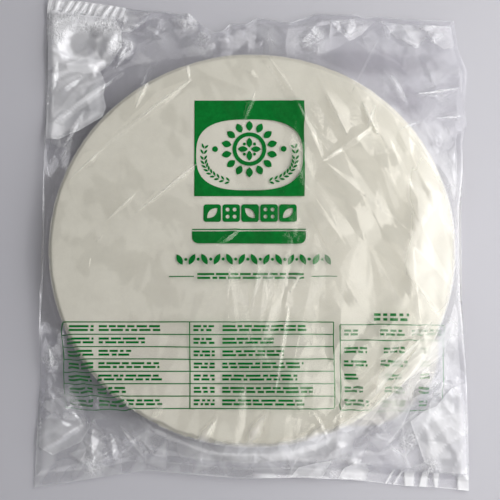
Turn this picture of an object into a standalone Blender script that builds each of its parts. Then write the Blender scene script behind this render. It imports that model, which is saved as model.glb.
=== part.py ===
"""A round stack of white edible wafer sheets, heat-sealed in a clear bag that lies flat.

Metres, +Z up, +X across the bag and +Y towards its top end, printed face up. The origin is on the
surface that the bag lies on, under the middle of its outline. The film is drawn tight over the
sheets, so the sealed bag is one closed solid: the drum of the stack, the film that slopes off it
like a tent, and the thin crumpled margins that run out to the welded ends and the side folds.
"""

import math
from typing import NamedTuple

import bmesh
import bpy
from mathutils import Vector, noise
from mathutils.geometry import delaunay_2d_cdt, intersect_point_line

# All sizes are in millimetres until the mesh is written.
MM = 0.001

# The stack of sheets
STACK_DIAMETER = 237.0
STACK_OVALITY = 0.017  # the sheets lie a little wider across the bag than along it
STACK_HEIGHT = 15.0
STACK_CENTRE = Vector((-0.6, -5.4))
SHEET_WAVE = 0.5  # how far the uppermost sheets swell up and down
SHEET_WAVE_LENGTH = 75.0
DROOP = 4.2  # how far the tight film has pulled the sheets' rims down on the right
DROOP_WIDTH = 28.0  # how far in from the rim the sheets start to bend down
DROOP_POWER = 1.4
DROOP_MIDDLE = -3.0  # the direction in which they droop most, in degrees from +X
DROOP_FULL, DROOP_END = 25.0, 60.0  # degrees to each side where it starts to fade, and is gone

# The film round it
SHOULDER = 3.0  # the width of the rounded edge where the film turns down off the stack
TENT_REACH = 26.0  # how far out the film still slopes, where the margin is deep enough
TENT_HOLLOW = 1.35  # over 1 is a slope that sags between the stack and the margin
WELD_THICKNESS = 0.9  # both films where they are welded or folded, at the outline
POCKET_GAP = 1.7  # the two films and the air between them, in the margins
END_WELD_WIDTH = 8.5  # the ribbed strip that closes each end
WELD_EASE = (3.0, 2.0)  # how far before and past the strip's inner edge the films part
SIDE_FOLD_WIDTH = 3.0
RIB_PITCH = 6.0
RIB_HEIGHT = 0.8
RIB_SLANT = 1.6  # how far a rib's foot stands to one side of its head
RIB_HALF_WIDTH = 2.4
RIB_HEAD_INSET = 0.12  # a rib starts this far from the bag's end, as a share of its length
RIB_FOOT_INSET = 0.5  # and stops this far short of the strip's inner edge
RIB_ROOM = 3.0  # ribs stop where the bag is this much wider than the stack
SNUG_MARGIN = 8.0  # a margin this narrow is drawn up to half the height of the stack
SLACK_MARGIN = 32.0  # a margin this deep lies down
SNUG_LIFT = 6.8
SLACK_LIFT = 1.6
LEAST_LIFT = 0.3
EDGE_WAVE = 1.3
EDGE_WAVE_LENGTH = 24.0
UNDER_RISE = 1.6  # the power by which the lower film leaves the surface towards the outline
CRUMPLE = 2.4
CRUMPLE_LENGTH = 13.0
FINE_CRUMPLE = 1.1
FINE_CRUMPLE_LENGTH = 6.0
CRUMPLE_ONSET = 12.0  # crumples reach their full height this far from the stack
FOLD_END = 0.35  # the height at a fold's tips, as a share of its full height

# The triangles: how far apart the corners are
OUTLINE_STEP = 6.0
RING_STEP = 6.5
MARGIN_STEP = 5.0
STACK_STEP = 15.0
UNDER_STEP = 11.0
FOLD_STEP = 5.0
FOLD_FADE = 6.0  # the length over which a fold's end runs out
CLEARANCE = 2.4  # scattered corners keep this far from the outline and the folds
RIM_CLEARANCE = (8.0, 7.0)  # and this far from the rim, on the stack and past it
UNDER_STACK_STEP = 45.0
UNDER_CLEARANCE = (20.0, 4.0)
CROWDING = 0.6  # how near corners of one grid may come, as a share of its step
DRIFT = 0.45  # how far a scattered corner strays, as a share of its grid's step
DRIFT_LENGTH = 3.1
RIM_RINGS = (-SHOULDER, -0.8, 1.5, 5.0)  # how far past the rim the rings of corners lie
SHARP_FOLD = math.radians(24.0)
MERGED = 1e-4  # corners nearer than this are one
SLIGHT = 1e-6  # what counts as nothing in a share or a length

# The layer of the noise that each kind of unevenness is read from
EDGE_LAYER = 1.5
CRUMPLE_LAYER = 3.5
FINE_LAYER = 5.5
SHEET_LAYER = 7.5
DRIFT_LAYERS = (11.5, 13.5)

FILM_COLOUR = (0.80, 0.80, 0.76, 1.0)
FILM_ROUGHNESS = 0.22

# The outline, clockwise from the top left corner. The top end is folded down in its middle and
# stands in peaks on the right, and the bottom end is nearly straight.
TOP_EDGE = [
    (-125, 148), (-104, 146.5), (-86, 144), (-72, 141.5), (-54, 140.5), (-45, 138.5),
    (-39, 139.5), (-34, 134.5), (-24.5, 127), (-17.5, 128.5), (-14.5, 132.5), (-3.5, 132.5),
    (2, 136.5), (8.5, 135.5), (22, 133), (38.5, 139), (61.5, 138.5), (68.5, 136.5),
    (76, 137.5), (94, 135.5), (122, 134.5),
]
RIGHT_EDGE = [
    (124.5, 117.5), (129.5, 104), (129, 94), (127.5, 82), (129, 70.5), (126, 60), (126, 43),
    (124, 22), (124, -35), (125.5, -62), (127, -78.5), (127.5, -113),
]
BOTTOM_EDGE = [
    (127.5, -148), (108, -146), (89, -145), (67, -142.5), (50, -141), (25.5, -140),
    (-8, -140.5), (-38, -138), (-63, -136), (-91, -140), (-106.5, -142.5),
]
LEFT_EDGE = [
    (-130, -146), (-129, -123), (-128, -95), (-127, -78.5), (-127.5, -52), (-126.5, -11),
    (-126, 25), (-126, 115),
]


class Fold(NamedTuple):
    """A straight ridge of the film: its two ends, its height and half its width."""

    start: tuple
    end: tuple
    height: float
    half_width: float


TOP_LEFT_FOLDS = [
    Fold((-121, 71), (-88.5, 95.5), 5.0, 5.5),
    Fold((-88.5, 95.5), (-79, 101.5), 3.0, 4.0),
    Fold((-114.5, 107), (-92, 104), 6.0, 7.5),
    Fold((-113, 128), (-104, 112.5), 3.0, 4.5),
    Fold((-92, 110), (-85, 125), 3.5, 4.5),
    Fold((-121, 134.5), (-84, 131.5), 2.2, 3.5),
    Fold((-121, 118), (-122, 88), 2.0, 3.0),
    Fold((-63, 139), (-79, 127.5), 2.6, 5.0),
    Fold((-112, 62), (-103, 76), 2.4, 4.0),
]
TOP_RIGHT_FOLDS = [
    Fold((76, 135), (80.5, 126), 4.0, 6.0),
    Fold((80.5, 126), (99, 119), 3.6, 5.0),
    Fold((99, 119), (121, 117.5), 2.6, 4.5),
    Fold((105.5, 126), (110, 119), 3.0, 4.5),
    Fold((47, 136.5), (46, 125.5), 4.2, 5.5),
    Fold((58, 136), (55, 125.5), 3.0, 5.0),
    Fold((30, 120.5), (37, 129), 3.4, 5.5),
    Fold((98, 89), (123, 92.5), 4.0, 4.5),
    Fold((108, 73.5), (126, 76), 2.4, 4.0),
    Fold((126.5, 101), (125.5, 90), 2.4, 3.0),
    Fold((79, 101), (91, 83), 2.6, 4.0),
]
BOTTOM_LEFT_FOLDS = [
    Fold((-121.5, -62), (-118, -84), 2.6, 3.5),
    Fold((-123, -90), (-101, -106), 4.2, 7.5),
    Fold((-126, -124), (-100, -108), 3.0, 4.5),
    Fold((-78.5, -111), (-64, -128), 4.0, 4.0),
    Fold((-105, -128), (-89, -136), 2.6, 5.0),
    Fold((-97, -101), (-95, -131), 2.4, 5.0),
    Fold((-112, -69), (-91, -101), 1.6, 4.0),
]
BOTTOM_RIGHT_FOLDS = [
    Fold((24, -137), (46, -131), 3.2, 4.0),
    Fold((52, -137), (63, -130.5), 3.0, 4.5),
    Fold((68, -131.5), (96, -131.5), 2.4, 4.0),
    Fold((78.5, -121), (99, -105.5), 3.4, 5.0),
    Fold((99, -105.5), (108, -125), 3.2, 5.0),
    Fold((110, -92), (121, -108), 2.8, 4.5),
    Fold((119, -120), (122, -143), 2.4, 4.0),
    Fold((62, -117), (88, -98), 2.0, 4.5),
    Fold((92, -96), (109, -76), 2.4, 4.5),
]
STACK_FOLDS = [
    Fold((-106, 38), (-90.5, 53), 1.0, 4.0),
    Fold((-90.5, 53), (-39, 94.5), 1.0, 4.5),
    Fold((-69.5, 16), (-35.5, 43.5), 1.0, 4.0),
    Fold((-58.5, 108), (-70, 79), 1.2, 3.5),
    Fold((8.5, 108), (41, 47.5), 1.0, 4.0),
    Fold((41, 47.5), (73, 69), 1.2, 4.5),
    Fold((41, 47.5), (91, 5), 1.0, 5.0),
    Fold((31, -28), (12, -82), 1.0, 4.0),
    Fold((38, -117), (57, -92), 1.2, 4.0),
    Fold((57, -92), (104, -49), 1.1, 5.0),
    Fold((-80, -90), (-60, -113), 1.2, 4.0),
    Fold((-30, -115), (-23, -104), 1.3, 4.0),
    Fold((0, -113), (8, -100), 1.4, 4.5),
]
CREASES = TOP_LEFT_FOLDS + TOP_RIGHT_FOLDS + BOTTOM_LEFT_FOLDS + BOTTOM_RIGHT_FOLDS + STACK_FOLDS


def steps(start, end, step):
    """Points from start up to, and without, end, evenly spaced and at most step apart."""
    count = max(1, math.ceil((end - start).length / step))
    return [start.lerp(end, i / count) for i in range(count)]


def chain(points):
    """The straight pieces that join a row of points."""
    corners = [Vector(point) for point in points]
    return list(zip(corners, corners[1:]))


TOP_END = chain(TOP_EDGE)
BOTTOM_END = chain(BOTTOM_EDGE + LEFT_EDGE[:1])
RIGHT_SIDE = chain(TOP_EDGE[-1:] + RIGHT_EDGE + BOTTOM_EDGE[:1])
LEFT_SIDE = chain(LEFT_EDGE + TOP_EDGE[:1])
ALL_ROUND = TOP_END + RIGHT_SIDE + BOTTOM_END + LEFT_SIDE
OUTLINE = [point for start, end in ALL_ROUND for point in steps(start, end, OUTLINE_STEP)]


def weld_ribs(end, inward):
    """The slanted ribs that the sealing jaws press across one end, as a row of small folds."""
    ribs = []
    for start, stop in end:
        for head in steps(start, stop, RIB_PITCH):
            length = END_WELD_WIDTH - RIB_FOOT_INSET
            foot = head + Vector((-RIB_SLANT * inward, length * inward))
            head = head.lerp(foot, RIB_HEAD_INSET)
            if abs(head.x) < STACK_DIAMETER / 2.0 + RIB_ROOM:
                ribs.append(Fold(tuple(head), tuple(foot), RIB_HEIGHT, RIB_HALF_WIDTH))
    return ribs


RIBS = weld_ribs(TOP_END, -1.0) + weld_ribs(BOTTOM_END, 1.0)


def smooth(low, high, value):
    """0 below low, 1 above high, and an S-curve between them."""
    t = min(1.0, max(0.0, (value - low) / (high - low)))
    return t * t * (3.0 - 2.0 * t)


def stack_radius(direction):
    """The stack's radius in a unit direction: an oval that is widest across the bag."""
    twice_angle_cosine = 2.0 * direction.x ** 2 - 1.0
    return STACK_DIAMETER / 2.0 * (1.0 + STACK_OVALITY * twice_angle_cosine)


def outline_distance(direction):
    """How far the outline is from the stack's centre in a unit direction."""
    reach = 0.0
    for start, end in ALL_ROUND:
        side = end - start
        turn = direction.cross(side)
        if abs(turn) < SLIGHT:
            continue
        along_ray = (start - STACK_CENTRE).cross(side) / turn
        along_side = (start - STACK_CENTRE).cross(direction) / turn
        if along_ray > 0.0 and -SLIGHT <= along_side <= 1.0 + SLIGHT:
            reach = max(reach, along_ray)
    return reach


def segment_distance(point, start, end):
    """The distance from a point to a straight piece, and the share of it that lies behind."""
    foot, share = intersect_point_line(point, start, end)
    share = min(1.0, max(0.0, share))
    return (point - start.lerp(end, share)).length, share


def edge_distance(point, edge=None):
    """How far a point is from the outline, or from one edge of it."""
    return min(segment_distance(point, start, end)[0] for start, end in edge or ALL_ROUND)


def looseness(point):
    """0 where the two films are held together at the outline, and 1 where they are free."""
    from_side = edge_distance(point, RIGHT_SIDE + LEFT_SIDE)
    from_end = edge_distance(point, TOP_END + BOTTOM_END)
    at_side = smooth(0.0, SIDE_FOLD_WIDTH, from_side)
    before, past = WELD_EASE
    return min(at_side, smooth(END_WELD_WIDTH - before, END_WELD_WIDTH + past, from_end))


def inside_outline(point):
    """Whether a point is within the outline, by the sides that a ray towards +X crosses."""
    crossings = 0
    for start, end in ALL_ROUND:
        if (start.y > point.y) != (end.y > point.y):
            share = (point.y - start.y) / (end.y - start.y)
            crossings += point.x < start.x + share * (end.x - start.x)
    return crossings % 2 == 1


def wave(point, length, layer):
    """Smooth noise from -1 to 1 whose swells are about one length across."""
    return noise.noise(Vector((point.x / length, point.y / length, layer)))


class Place:
    """Where a point lies between the stack's rim and the outline."""

    def __init__(self, point):
        self.point = point
        arm = point - STACK_CENTRE
        direction = arm.normalized() if arm.length > SLIGHT else Vector((1.0, 0.0))
        self.angle = math.degrees(math.atan2(direction.y, direction.x))
        rim = stack_radius(direction)
        self.past_rim = arm.length - rim
        self.margin = max(1.0, outline_distance(direction) - rim)
        self.share = min(1.0, max(0.0, self.past_rim / self.margin))

    def droop(self):
        """How far the tight film has pulled the sheets down here."""
        strength = smooth(DROOP_END, DROOP_FULL, abs(self.angle - DROOP_MIDDLE))
        nearness = min(1.0, max(0.0, 1.0 + self.past_rim / DROOP_WIDTH))
        return DROOP * strength * nearness ** DROOP_POWER

    def under(self):
        """The height of the lower film: flat under the stack and lifting towards the outline."""
        slack = smooth(SNUG_MARGIN, SLACK_MARGIN, self.margin)
        lift = SNUG_LIFT + (SLACK_LIFT - SNUG_LIFT) * slack
        lift += EDGE_WAVE * wave(self.point, EDGE_WAVE_LENGTH, EDGE_LAYER)
        return max(LEAST_LIFT, lift) * self.share ** UNDER_RISE

    def upper(self):
        """The height of the upper film, with the sheets, the folds and the crumples under it."""
        loose = looseness(self.point)
        gap = WELD_THICKNESS + (POCKET_GAP - WELD_THICKNESS) * loose
        resting = self.under() + gap
        reach = min(TENT_REACH, self.margin)
        down = min(1.0, max(0.0, (self.past_rim + SHOULDER) / (reach + SHOULDER)))
        top = STACK_HEIGHT + SHEET_WAVE * wave(self.point, SHEET_WAVE_LENGTH, SHEET_LAYER)
        top -= self.droop()
        height = resting + (top - resting) * (1.0 - down) ** TENT_HOLLOW
        in_margin = smooth(0.0, CRUMPLE_ONSET, self.past_rim)
        crumple = CRUMPLE * abs(wave(self.point, CRUMPLE_LENGTH, CRUMPLE_LAYER))
        crumple += FINE_CRUMPLE * abs(wave(self.point, FINE_CRUMPLE_LENGTH, FINE_LAYER))
        relief = (crumple * in_margin + fold_height(self.point, CREASES)) * loose
        return height + max(relief, fold_height(self.point, RIBS))


def fold_height(point, folds):
    """How far the highest fold at a point lifts the film: each one is a ridge like a roof."""
    highest = 0.0
    for fold in folds:
        start, end = Vector(fold.start), Vector(fold.end)
        away, share = segment_distance(point, start, end)
        roof = max(0.0, 1.0 - away / fold.half_width)
        run_out = min(share, 1.0 - share) * (end - start).length / FOLD_FADE
        highest = max(highest, fold.height * roof * (FOLD_END + (1.0 - FOLD_END) * min(1.0, run_out)))
    return highest


def ring(past_rim, step):
    """Points round the stack at one distance from its rim, where that is inside the margin."""
    count = round(math.pi * (STACK_DIAMETER + 2.0 * past_rim) / step)
    points = []
    for i in range(count):
        angle = 2.0 * math.pi * i / count
        direction = Vector((math.cos(angle), math.sin(angle)))
        points.append(STACK_CENTRE + direction * (stack_radius(direction) + past_rim))
    if past_rim <= 0.0:
        return points
    return [p for p in points if inside_outline(p) and edge_distance(p) > CLEARANCE / 2.0]


def grid(step):
    """A field of points in rows of triangles over the whole bag, each one a little astray."""
    points = []
    row_step = step * math.sqrt(0.75)
    low = Vector((min(p.x for p in OUTLINE), min(p.y for p in OUTLINE)))
    high = Vector((max(p.x for p in OUTLINE), max(p.y for p in OUTLINE)))
    for row in range(int((high.y - low.y) / row_step)):
        for column in range(int((high.x - low.x) / step)):
            across = (column + 0.5 * (row % 2)) * step
            point = low + Vector((across, row * row_step))
            drift = Vector([wave(point, DRIFT_LENGTH, layer) for layer in DRIFT_LAYERS])
            points.append(point + drift * step * DRIFT)
    return points


def margin_grid(step, from_rim):
    """The grid's points between the stack and the outline."""
    kept = []
    for point in grid(step):
        if inside_outline(point) and Place(point).past_rim > from_rim:
            if edge_distance(point) > CLEARANCE:
                kept.append(point)
    return kept


def stack_grid(step, from_rim):
    """The grid's points on the stack, away from its rim."""
    return [p for p in grid(step) if Place(p).past_rim < -from_rim]


def fold_lines():
    """Each fold's crest as a row of points."""
    rows = []
    for fold in CREASES + RIBS:
        start, end = Vector(fold.start), Vector(fold.end)
        rows.append(steps(start, end, FOLD_STEP) + [end])
    return rows


def fold_feet():
    """Points along both feet of each fold, where its sides meet the film."""
    feet = []
    for fold in CREASES + RIBS:
        start, end = Vector(fold.start), Vector(fold.end)
        side = (end - start).normalized().orthogonal() * fold.half_width
        for point in steps(start, end, FOLD_STEP) + [end]:
            feet += [point + side, point - side]
    return [p for p in feet if inside_outline(p) and edge_distance(p) > CLEARANCE / 2.0]


def thin_out(points, taken, least):
    """The points that keep a distance from those already taken and from each other."""
    kept = []
    cells = {}

    def near(point):
        column, row = math.floor(point.x / least), math.floor(point.y / least)
        for i in (column - 1, column, column + 1):
            for j in (row - 1, row, row + 1):
                for other in cells.get((i, j), ()):
                    if (other - point).length < least:
                        return True
        return False

    def put(point):
        cells.setdefault((math.floor(point.x / least), math.floor(point.y / least)), []).append(point)

    for point in taken:
        put(point)
    for point in points:
        if not near(point):
            put(point)
            kept.append(point)
    return kept


def triangulate(lines, scattered):
    """Delaunay triangles inside the outline, with the lines among their edges."""
    points = list(OUTLINE)
    edges = []
    for line in lines:
        first = len(points)
        points += line
        edges += [(first + i, first + i + 1) for i in range(len(line) - 1)]
    points += scattered
    face = list(range(len(OUTLINE)))
    result = delaunay_2d_cdt(points, edges, [face], 1, MERGED)
    corners, triangles, sources = result[0], result[2], result[3]
    place_of = {source: i for i, found in enumerate(sources) for source in found}
    border = [place_of[i] for i in face]
    return corners, triangles, border


def upper_sheet():
    """The triangles of the upper film, closer together where it turns and folds."""
    lines = fold_lines()
    crests = [point for line in lines for point in line]
    rims = [p for past_rim in RIM_RINGS for p in ring(past_rim, RING_STEP)]
    rims = thin_out(rims, crests, CLEARANCE)
    feet = thin_out(fold_feet(), OUTLINE + crests + rims, CLEARANCE)
    fixed = OUTLINE + crests + rims + feet
    on_stack, past_rim = RIM_CLEARANCE
    field = margin_grid(MARGIN_STEP, past_rim) + stack_grid(STACK_STEP, on_stack)
    return triangulate(lines, rims + feet + thin_out(field, fixed, MARGIN_STEP * CROWDING))


def lower_sheet():
    """The triangles of the lower film: wide flat ones under the stack."""
    base = ring(0.0, RING_STEP)
    on_stack, past_rim = UNDER_CLEARANCE
    field = thin_out(margin_grid(UNDER_STEP, past_rim), OUTLINE + base, UNDER_STEP * CROWDING)
    return triangulate([], base + field + stack_grid(UNDER_STACK_STEP, on_stack))


def build_bag():
    """The sealed bag: the two films, and the weld that joins them round the outline."""
    mesh = bmesh.new()

    def add_film(corners, triangles, height, face_up):
        made = []
        for corner in corners:
            place = Place(Vector(corner))
            made.append(mesh.verts.new((corner.x * MM, corner.y * MM, height(place) * MM)))
        for triangle in triangles:
            loop = [made[i] for i in triangle]
            mesh.faces.new(loop if face_up else loop[::-1])
        return made

    corners, triangles, upper_border = upper_sheet()
    upper = add_film(corners, triangles, Place.upper, True)
    corners, triangles, lower_border = lower_sheet()
    lower = add_film(corners, triangles, Place.under, False)
    count = len(OUTLINE)
    for i in range(count):
        j = (i + 1) % count
        weld = (upper_border[i], upper_border[j], lower_border[j], lower_border[i])
        mesh.faces.new((upper[weld[0]], upper[weld[1]], lower[weld[2]], lower[weld[3]]))
    bmesh.ops.recalc_face_normals(mesh, faces=mesh.faces)
    data = bpy.data.meshes.new("sealed_bag")
    mesh.to_mesh(data)
    mesh.free()
    data.shade_smooth()
    data.set_sharp_from_angle(angle=SHARP_FOLD)
    return bpy.data.objects.new("sealed_bag", data)


def film_material():
    """Clear glossy film with the pale sheets showing through it."""
    material = bpy.data.materials.new("film_over_sheets")
    material.use_nodes = True
    shader = material.node_tree.nodes["Principled BSDF"]
    shader.inputs["Base Color"].default_value = FILM_COLOUR
    shader.inputs["Roughness"].default_value = FILM_ROUGHNESS
    shader.inputs["Metallic"].default_value = 0.0
    return material


def main():
    for thing in list(bpy.data.objects):
        bpy.data.objects.remove(thing)
    bag = build_bag()
    bag.data.materials.append(film_material())
    bpy.context.scene.collection.objects.link(bag)


main()
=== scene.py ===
"""The looks of a round stack of edible wafer sheets in a clear, crinkled, printed bag.

It is laid out as a Blender add-on and run as a script. The film, the sheets and the print are
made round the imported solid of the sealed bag, which stays the measure of their size and place.
Shapes are worked out in millimetres and written to the meshes in metres.
"""

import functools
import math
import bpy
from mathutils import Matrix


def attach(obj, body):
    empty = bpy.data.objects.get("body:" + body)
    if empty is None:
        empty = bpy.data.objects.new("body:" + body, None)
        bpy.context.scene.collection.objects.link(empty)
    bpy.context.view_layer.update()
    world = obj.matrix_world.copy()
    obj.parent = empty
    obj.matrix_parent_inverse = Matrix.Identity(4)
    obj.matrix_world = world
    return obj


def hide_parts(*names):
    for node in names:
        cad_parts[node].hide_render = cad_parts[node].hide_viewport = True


bl_info = {
    "name": "Bagged Wafer Sheets",
    "version": (1, 0, 0),
    "blender": (4, 5, 0),
    "location": "3D View > Sidebar > Wafer Bag",
    "description": "A stack of edible wafer sheets in a clear printed bag",
    "category": "Add Mesh",
}

from typing import NamedTuple

import bpy
import numpy as np
from bpy.props import FloatProperty, FloatVectorProperty, IntProperty, PointerProperty
from bpy.types import Operator, Panel, PropertyGroup
from mathutils import Matrix, Vector, noise
from mathutils.geometry import delaunay_2d_cdt

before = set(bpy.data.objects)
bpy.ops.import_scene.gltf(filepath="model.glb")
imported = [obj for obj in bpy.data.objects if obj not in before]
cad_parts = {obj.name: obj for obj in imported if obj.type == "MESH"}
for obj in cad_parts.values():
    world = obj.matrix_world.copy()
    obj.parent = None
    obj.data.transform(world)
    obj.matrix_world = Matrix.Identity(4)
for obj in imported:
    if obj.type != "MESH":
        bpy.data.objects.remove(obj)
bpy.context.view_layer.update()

BODY = "root"
NODE = "sealed_bag"
MM = 0.001

# The bag's outline in millimetres. Each edge runs in the direction in which its first name grows.
TOP_EDGE = np.array([
    (-125, 148), (-104, 146.5), (-86, 144), (-72, 141.5), (-54, 140.5), (-45, 138.5),
    (-39, 139.5), (-34, 134.5), (-24.5, 127), (-17.5, 128.5), (-14.5, 132.5), (-3.5, 132.5),
    (2, 136.5), (8.5, 135.5), (22, 133), (38.5, 139), (61.5, 138.5), (68.5, 136.5),
    (76, 137.5), (94, 135.5), (122, 134.5),
])
BOTTOM_EDGE = np.array([
    (-130, -146), (-106.5, -142.5), (-91, -140), (-63, -136), (-38, -138), (-8, -140.5),
    (25.5, -140), (50, -141), (67, -142.5), (89, -145), (108, -146), (127.5, -148),
])
LEFT_EDGE = np.array([
    (-130, -146), (-129, -123), (-128, -95), (-127, -78.5), (-127.5, -52), (-126.5, -11),
    (-126, 25), (-126, 115), (-125, 148),
])
RIGHT_EDGE = np.array([
    (127.5, -148), (127.5, -113), (127, -78.5), (125.5, -62), (124, -35), (124, 22), (126, 43),
    (126, 60), (129, 70.5), (127.5, 82), (129, 94), (129.5, 104), (124.5, 117.5), (122, 134.5),
])
STACK_CENTRE = (-0.6, -5.4)

# The layer of Blender's noise that each kind of unevenness is read from, as in the solid
EDGE_LAYER = 1.5
SHEET_LAYER = 7.5


# ---------------------------------------------------------------- settings


class StackSettings(PropertyGroup):
    """The stack of sheets."""

    diameter: FloatProperty(
        name="Diameter", description="Mean width of the round stack",
        default=0.237, min=0.05, unit="LENGTH")
    ovality: FloatProperty(
        name="Ovality", description="How much wider the stack lies across the bag than along it",
        default=0.017, min=0.0, max=0.1)
    height: FloatProperty(
        name="Height", description="From the table to the top of the stack",
        default=0.015, min=0.002, unit="LENGTH")
    sheets: IntProperty(
        name="Sheets", description="How many sheets lie in the stack", default=49, min=3)
    stray: FloatProperty(
        name="Stray", description="How far a sheet lies off the stack's middle",
        default=0.0004, min=0.0, unit="LENGTH")
    fray: FloatProperty(
        name="Fray", description="How deep a sheet's rim is nibbled",
        default=0.00025, min=0.0, unit="LENGTH")
    cream: FloatVectorProperty(
        name="Cream", description="Colour of the sheets", subtype="COLOR", size=3,
        default=(0.825, 0.802, 0.695), min=0.0, max=1.0)
    shade: FloatVectorProperty(
        name="Shade", description="Colour of the sheets' thinner, duller patches",
        subtype="COLOR", size=3, default=(0.75, 0.725, 0.622), min=0.0, max=1.0)


class FilmSettings(PropertyGroup):
    """The clear film of the bag."""

    shoulder: FloatProperty(
        name="Shoulder", description="Width of the rounded edge where the film leaves the stack",
        default=0.0006, min=0.0002, unit="LENGTH")
    tent_reach: FloatProperty(
        name="Tent Reach", description="How far out the film slopes where the margin is deep",
        default=0.026, min=0.005, unit="LENGTH")
    big_crumple: FloatProperty(
        name="Billows", description="Height of the broad billows in the margins",
        default=0.0034, min=0.0, unit="LENGTH")
    small_crumple: FloatProperty(
        name="Small Crumples", description="Height of the small facets in the margins",
        default=0.0018, min=0.0, unit="LENGTH")
    tint: FloatVectorProperty(
        name="Tint", description="Colour of light that has passed through one layer",
        subtype="COLOR", size=3, default=(0.985, 0.984, 0.99), min=0.0, max=1.0)
    gloss: FloatProperty(
        name="Gloss", description="Share of light that a flat piece mirrors from straight above",
        default=0.10, min=0.0, max=1.0)
    # Crease whitening: partly the film's own, partly painted highlight along the creases
    haze: FloatProperty(
        name="Haze", description="How much a sharp crease whitens the film",
        default=0.5, min=0.0, max=1.0)
    roughness: FloatProperty(
        name="Roughness", description="Roughness of the uncreased film",
        default=0.09, min=0.0, max=1.0)


class PrintSettings(PropertyGroup):
    """The ink on the inside of the upper film."""

    ink: FloatVectorProperty(
        name="Ink", description="Colour of the ink", subtype="COLOR", size=3,
        default=(0.0045, 0.171, 0.027), min=0.0, max=1.0)
    line: FloatProperty(
        name="Line", description="Width of the thin ruled lines",
        default=0.0006, min=0.0001, unit="LENGTH")
    wobble: FloatProperty(
        name="Wobble", description="How far slack film carries the print sideways on a slope",
        default=0.0022, min=0.0, unit="LENGTH")


class StageSettings(PropertyGroup):
    """The table, the lights and the camera."""

    table: FloatVectorProperty(
        name="Table", description="Colour of the surface", subtype="COLOR", size=3,
        default=(0.62, 0.615, 0.655), min=0.0, max=1.0)
    window: FloatProperty(
        name="Window", description="Brightness of the long soft light on the right",
        default=1.63, min=0.0)
    sky: FloatProperty(
        name="Sky", description="Strength of the even light from all round",
        default=0.09, min=0.0)
    side: FloatProperty(
        name="Side", description="Strength of the soft light from the window's side of the room",
        default=0.45, min=0.0)
    distance: FloatProperty(
        name="Camera Distance", description="From the camera to the bag",
        default=0.75, min=0.1, unit="LENGTH")
    elevation: FloatProperty(
        name="Camera Elevation", description="Angle of the camera above the table",
        default=math.radians(86.0), min=0.1, max=math.pi / 2, subtype="ANGLE")


class BagSettings(PropertyGroup):
    """Everything that a user would change."""

    stack: PointerProperty(type=StackSettings)
    film: PointerProperty(type=FilmSettings)
    label: PointerProperty(type=PrintSettings)
    stage: PointerProperty(type=StageSettings)


# ---------------------------------------------------------------- plan of the bag


def smooth(low, high, value):
    """0 below low, 1 above high, and an S-curve between them."""
    t = np.clip((value - low) / (high - low), 0.0, 1.0)
    return t * t * (3.0 - 2.0 * t)


class Raster:
    """Points over the bag's plan, a fixed pitch apart, in millimetres."""

    def __init__(self, low, high, pitch):
        self.low = low
        self.pitch = pitch
        self.x, self.y = np.meshgrid(
            np.arange(low[0], high[0] + pitch, pitch), np.arange(low[1], high[1] + pitch, pitch))

    def read(self, field, x, y):
        """A field's value between its points, from the four nearest."""
        column = np.clip((np.asarray(x) - self.low[0]) / self.pitch, 0, self.x.shape[1] - 1.001)
        row = np.clip((np.asarray(y) - self.low[1]) / self.pitch, 0, self.x.shape[0] - 1.001)
        i, j = column.astype(int), row.astype(int)
        s, t = column - i, row - j
        near = field[j, i] * (1 - s) + field[j, i + 1] * s
        far = field[j + 1, i] * (1 - s) + field[j + 1, i + 1] * s
        return near * (1 - t) + far * t


# Half the width and half the length of the plan that the fields cover, and their pitch
HALF_WIDTH, HALF_LENGTH, PLAN_PITCH = 134.0, 152.0, 0.5
PLAN = Raster((-HALF_WIDTH, -HALF_LENGTH), (HALF_WIDTH, HALF_LENGTH), PLAN_PITCH)


def wave(length, layer):
    """Smooth noise over the plan, from -1 to 1, whose swells are about one length across."""
    coarse = Raster(PLAN.low, (HALF_WIDTH + 2.0, HALF_LENGTH + 2.0), length / 8.0)
    values = [
        noise.noise(Vector((x / length, y / length, layer)))
        for x, y in zip(coarse.x.ravel(), coarse.y.ravel())
    ]
    return coarse.read(np.array(values).reshape(coarse.x.shape), PLAN.x, PLAN.y)


def within(loop, x, y, edge):
    """1 inside a closed outline, 0 outside it, and between them up to edge from it."""
    away = distance_to(np.array([*loop, loop[0]]), x, y)
    return smooth(-edge, edge, np.where(inside([list(loop)], x, y), away, -away))


def spot(place, outer, inner):
    """Over the plan, 1 up to inner from a place and 0 beyond outer from it."""
    return smooth(outer, inner, np.hypot(PLAN.x - place[0], PLAN.y - place[1]))


class Region(NamedTuple):
    """A part of the plan: it fades in from the first x and y to the second of each."""

    x: tuple
    y: tuple

    def share(self):
        """Over the plan, 1 in the region and 0 away from it."""
        return smooth(*self.x, PLAN.x) * smooth(*self.y, PLAN.y)


def distance_to(chain, x, y):
    """The distance from points to a chain of straight pieces."""
    best = np.full(np.shape(x), 1e9)
    for (ax, ay), (bx, by) in zip(chain[:-1], chain[1:]):
        dx, dy = bx - ax, by - ay
        share = np.clip(((x - ax) * dx + (y - ay) * dy) / (dx * dx + dy * dy), 0.0, 1.0)
        best = np.minimum(best, np.hypot(x - ax - share * dx, y - ay - share * dy))
    return best


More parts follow.
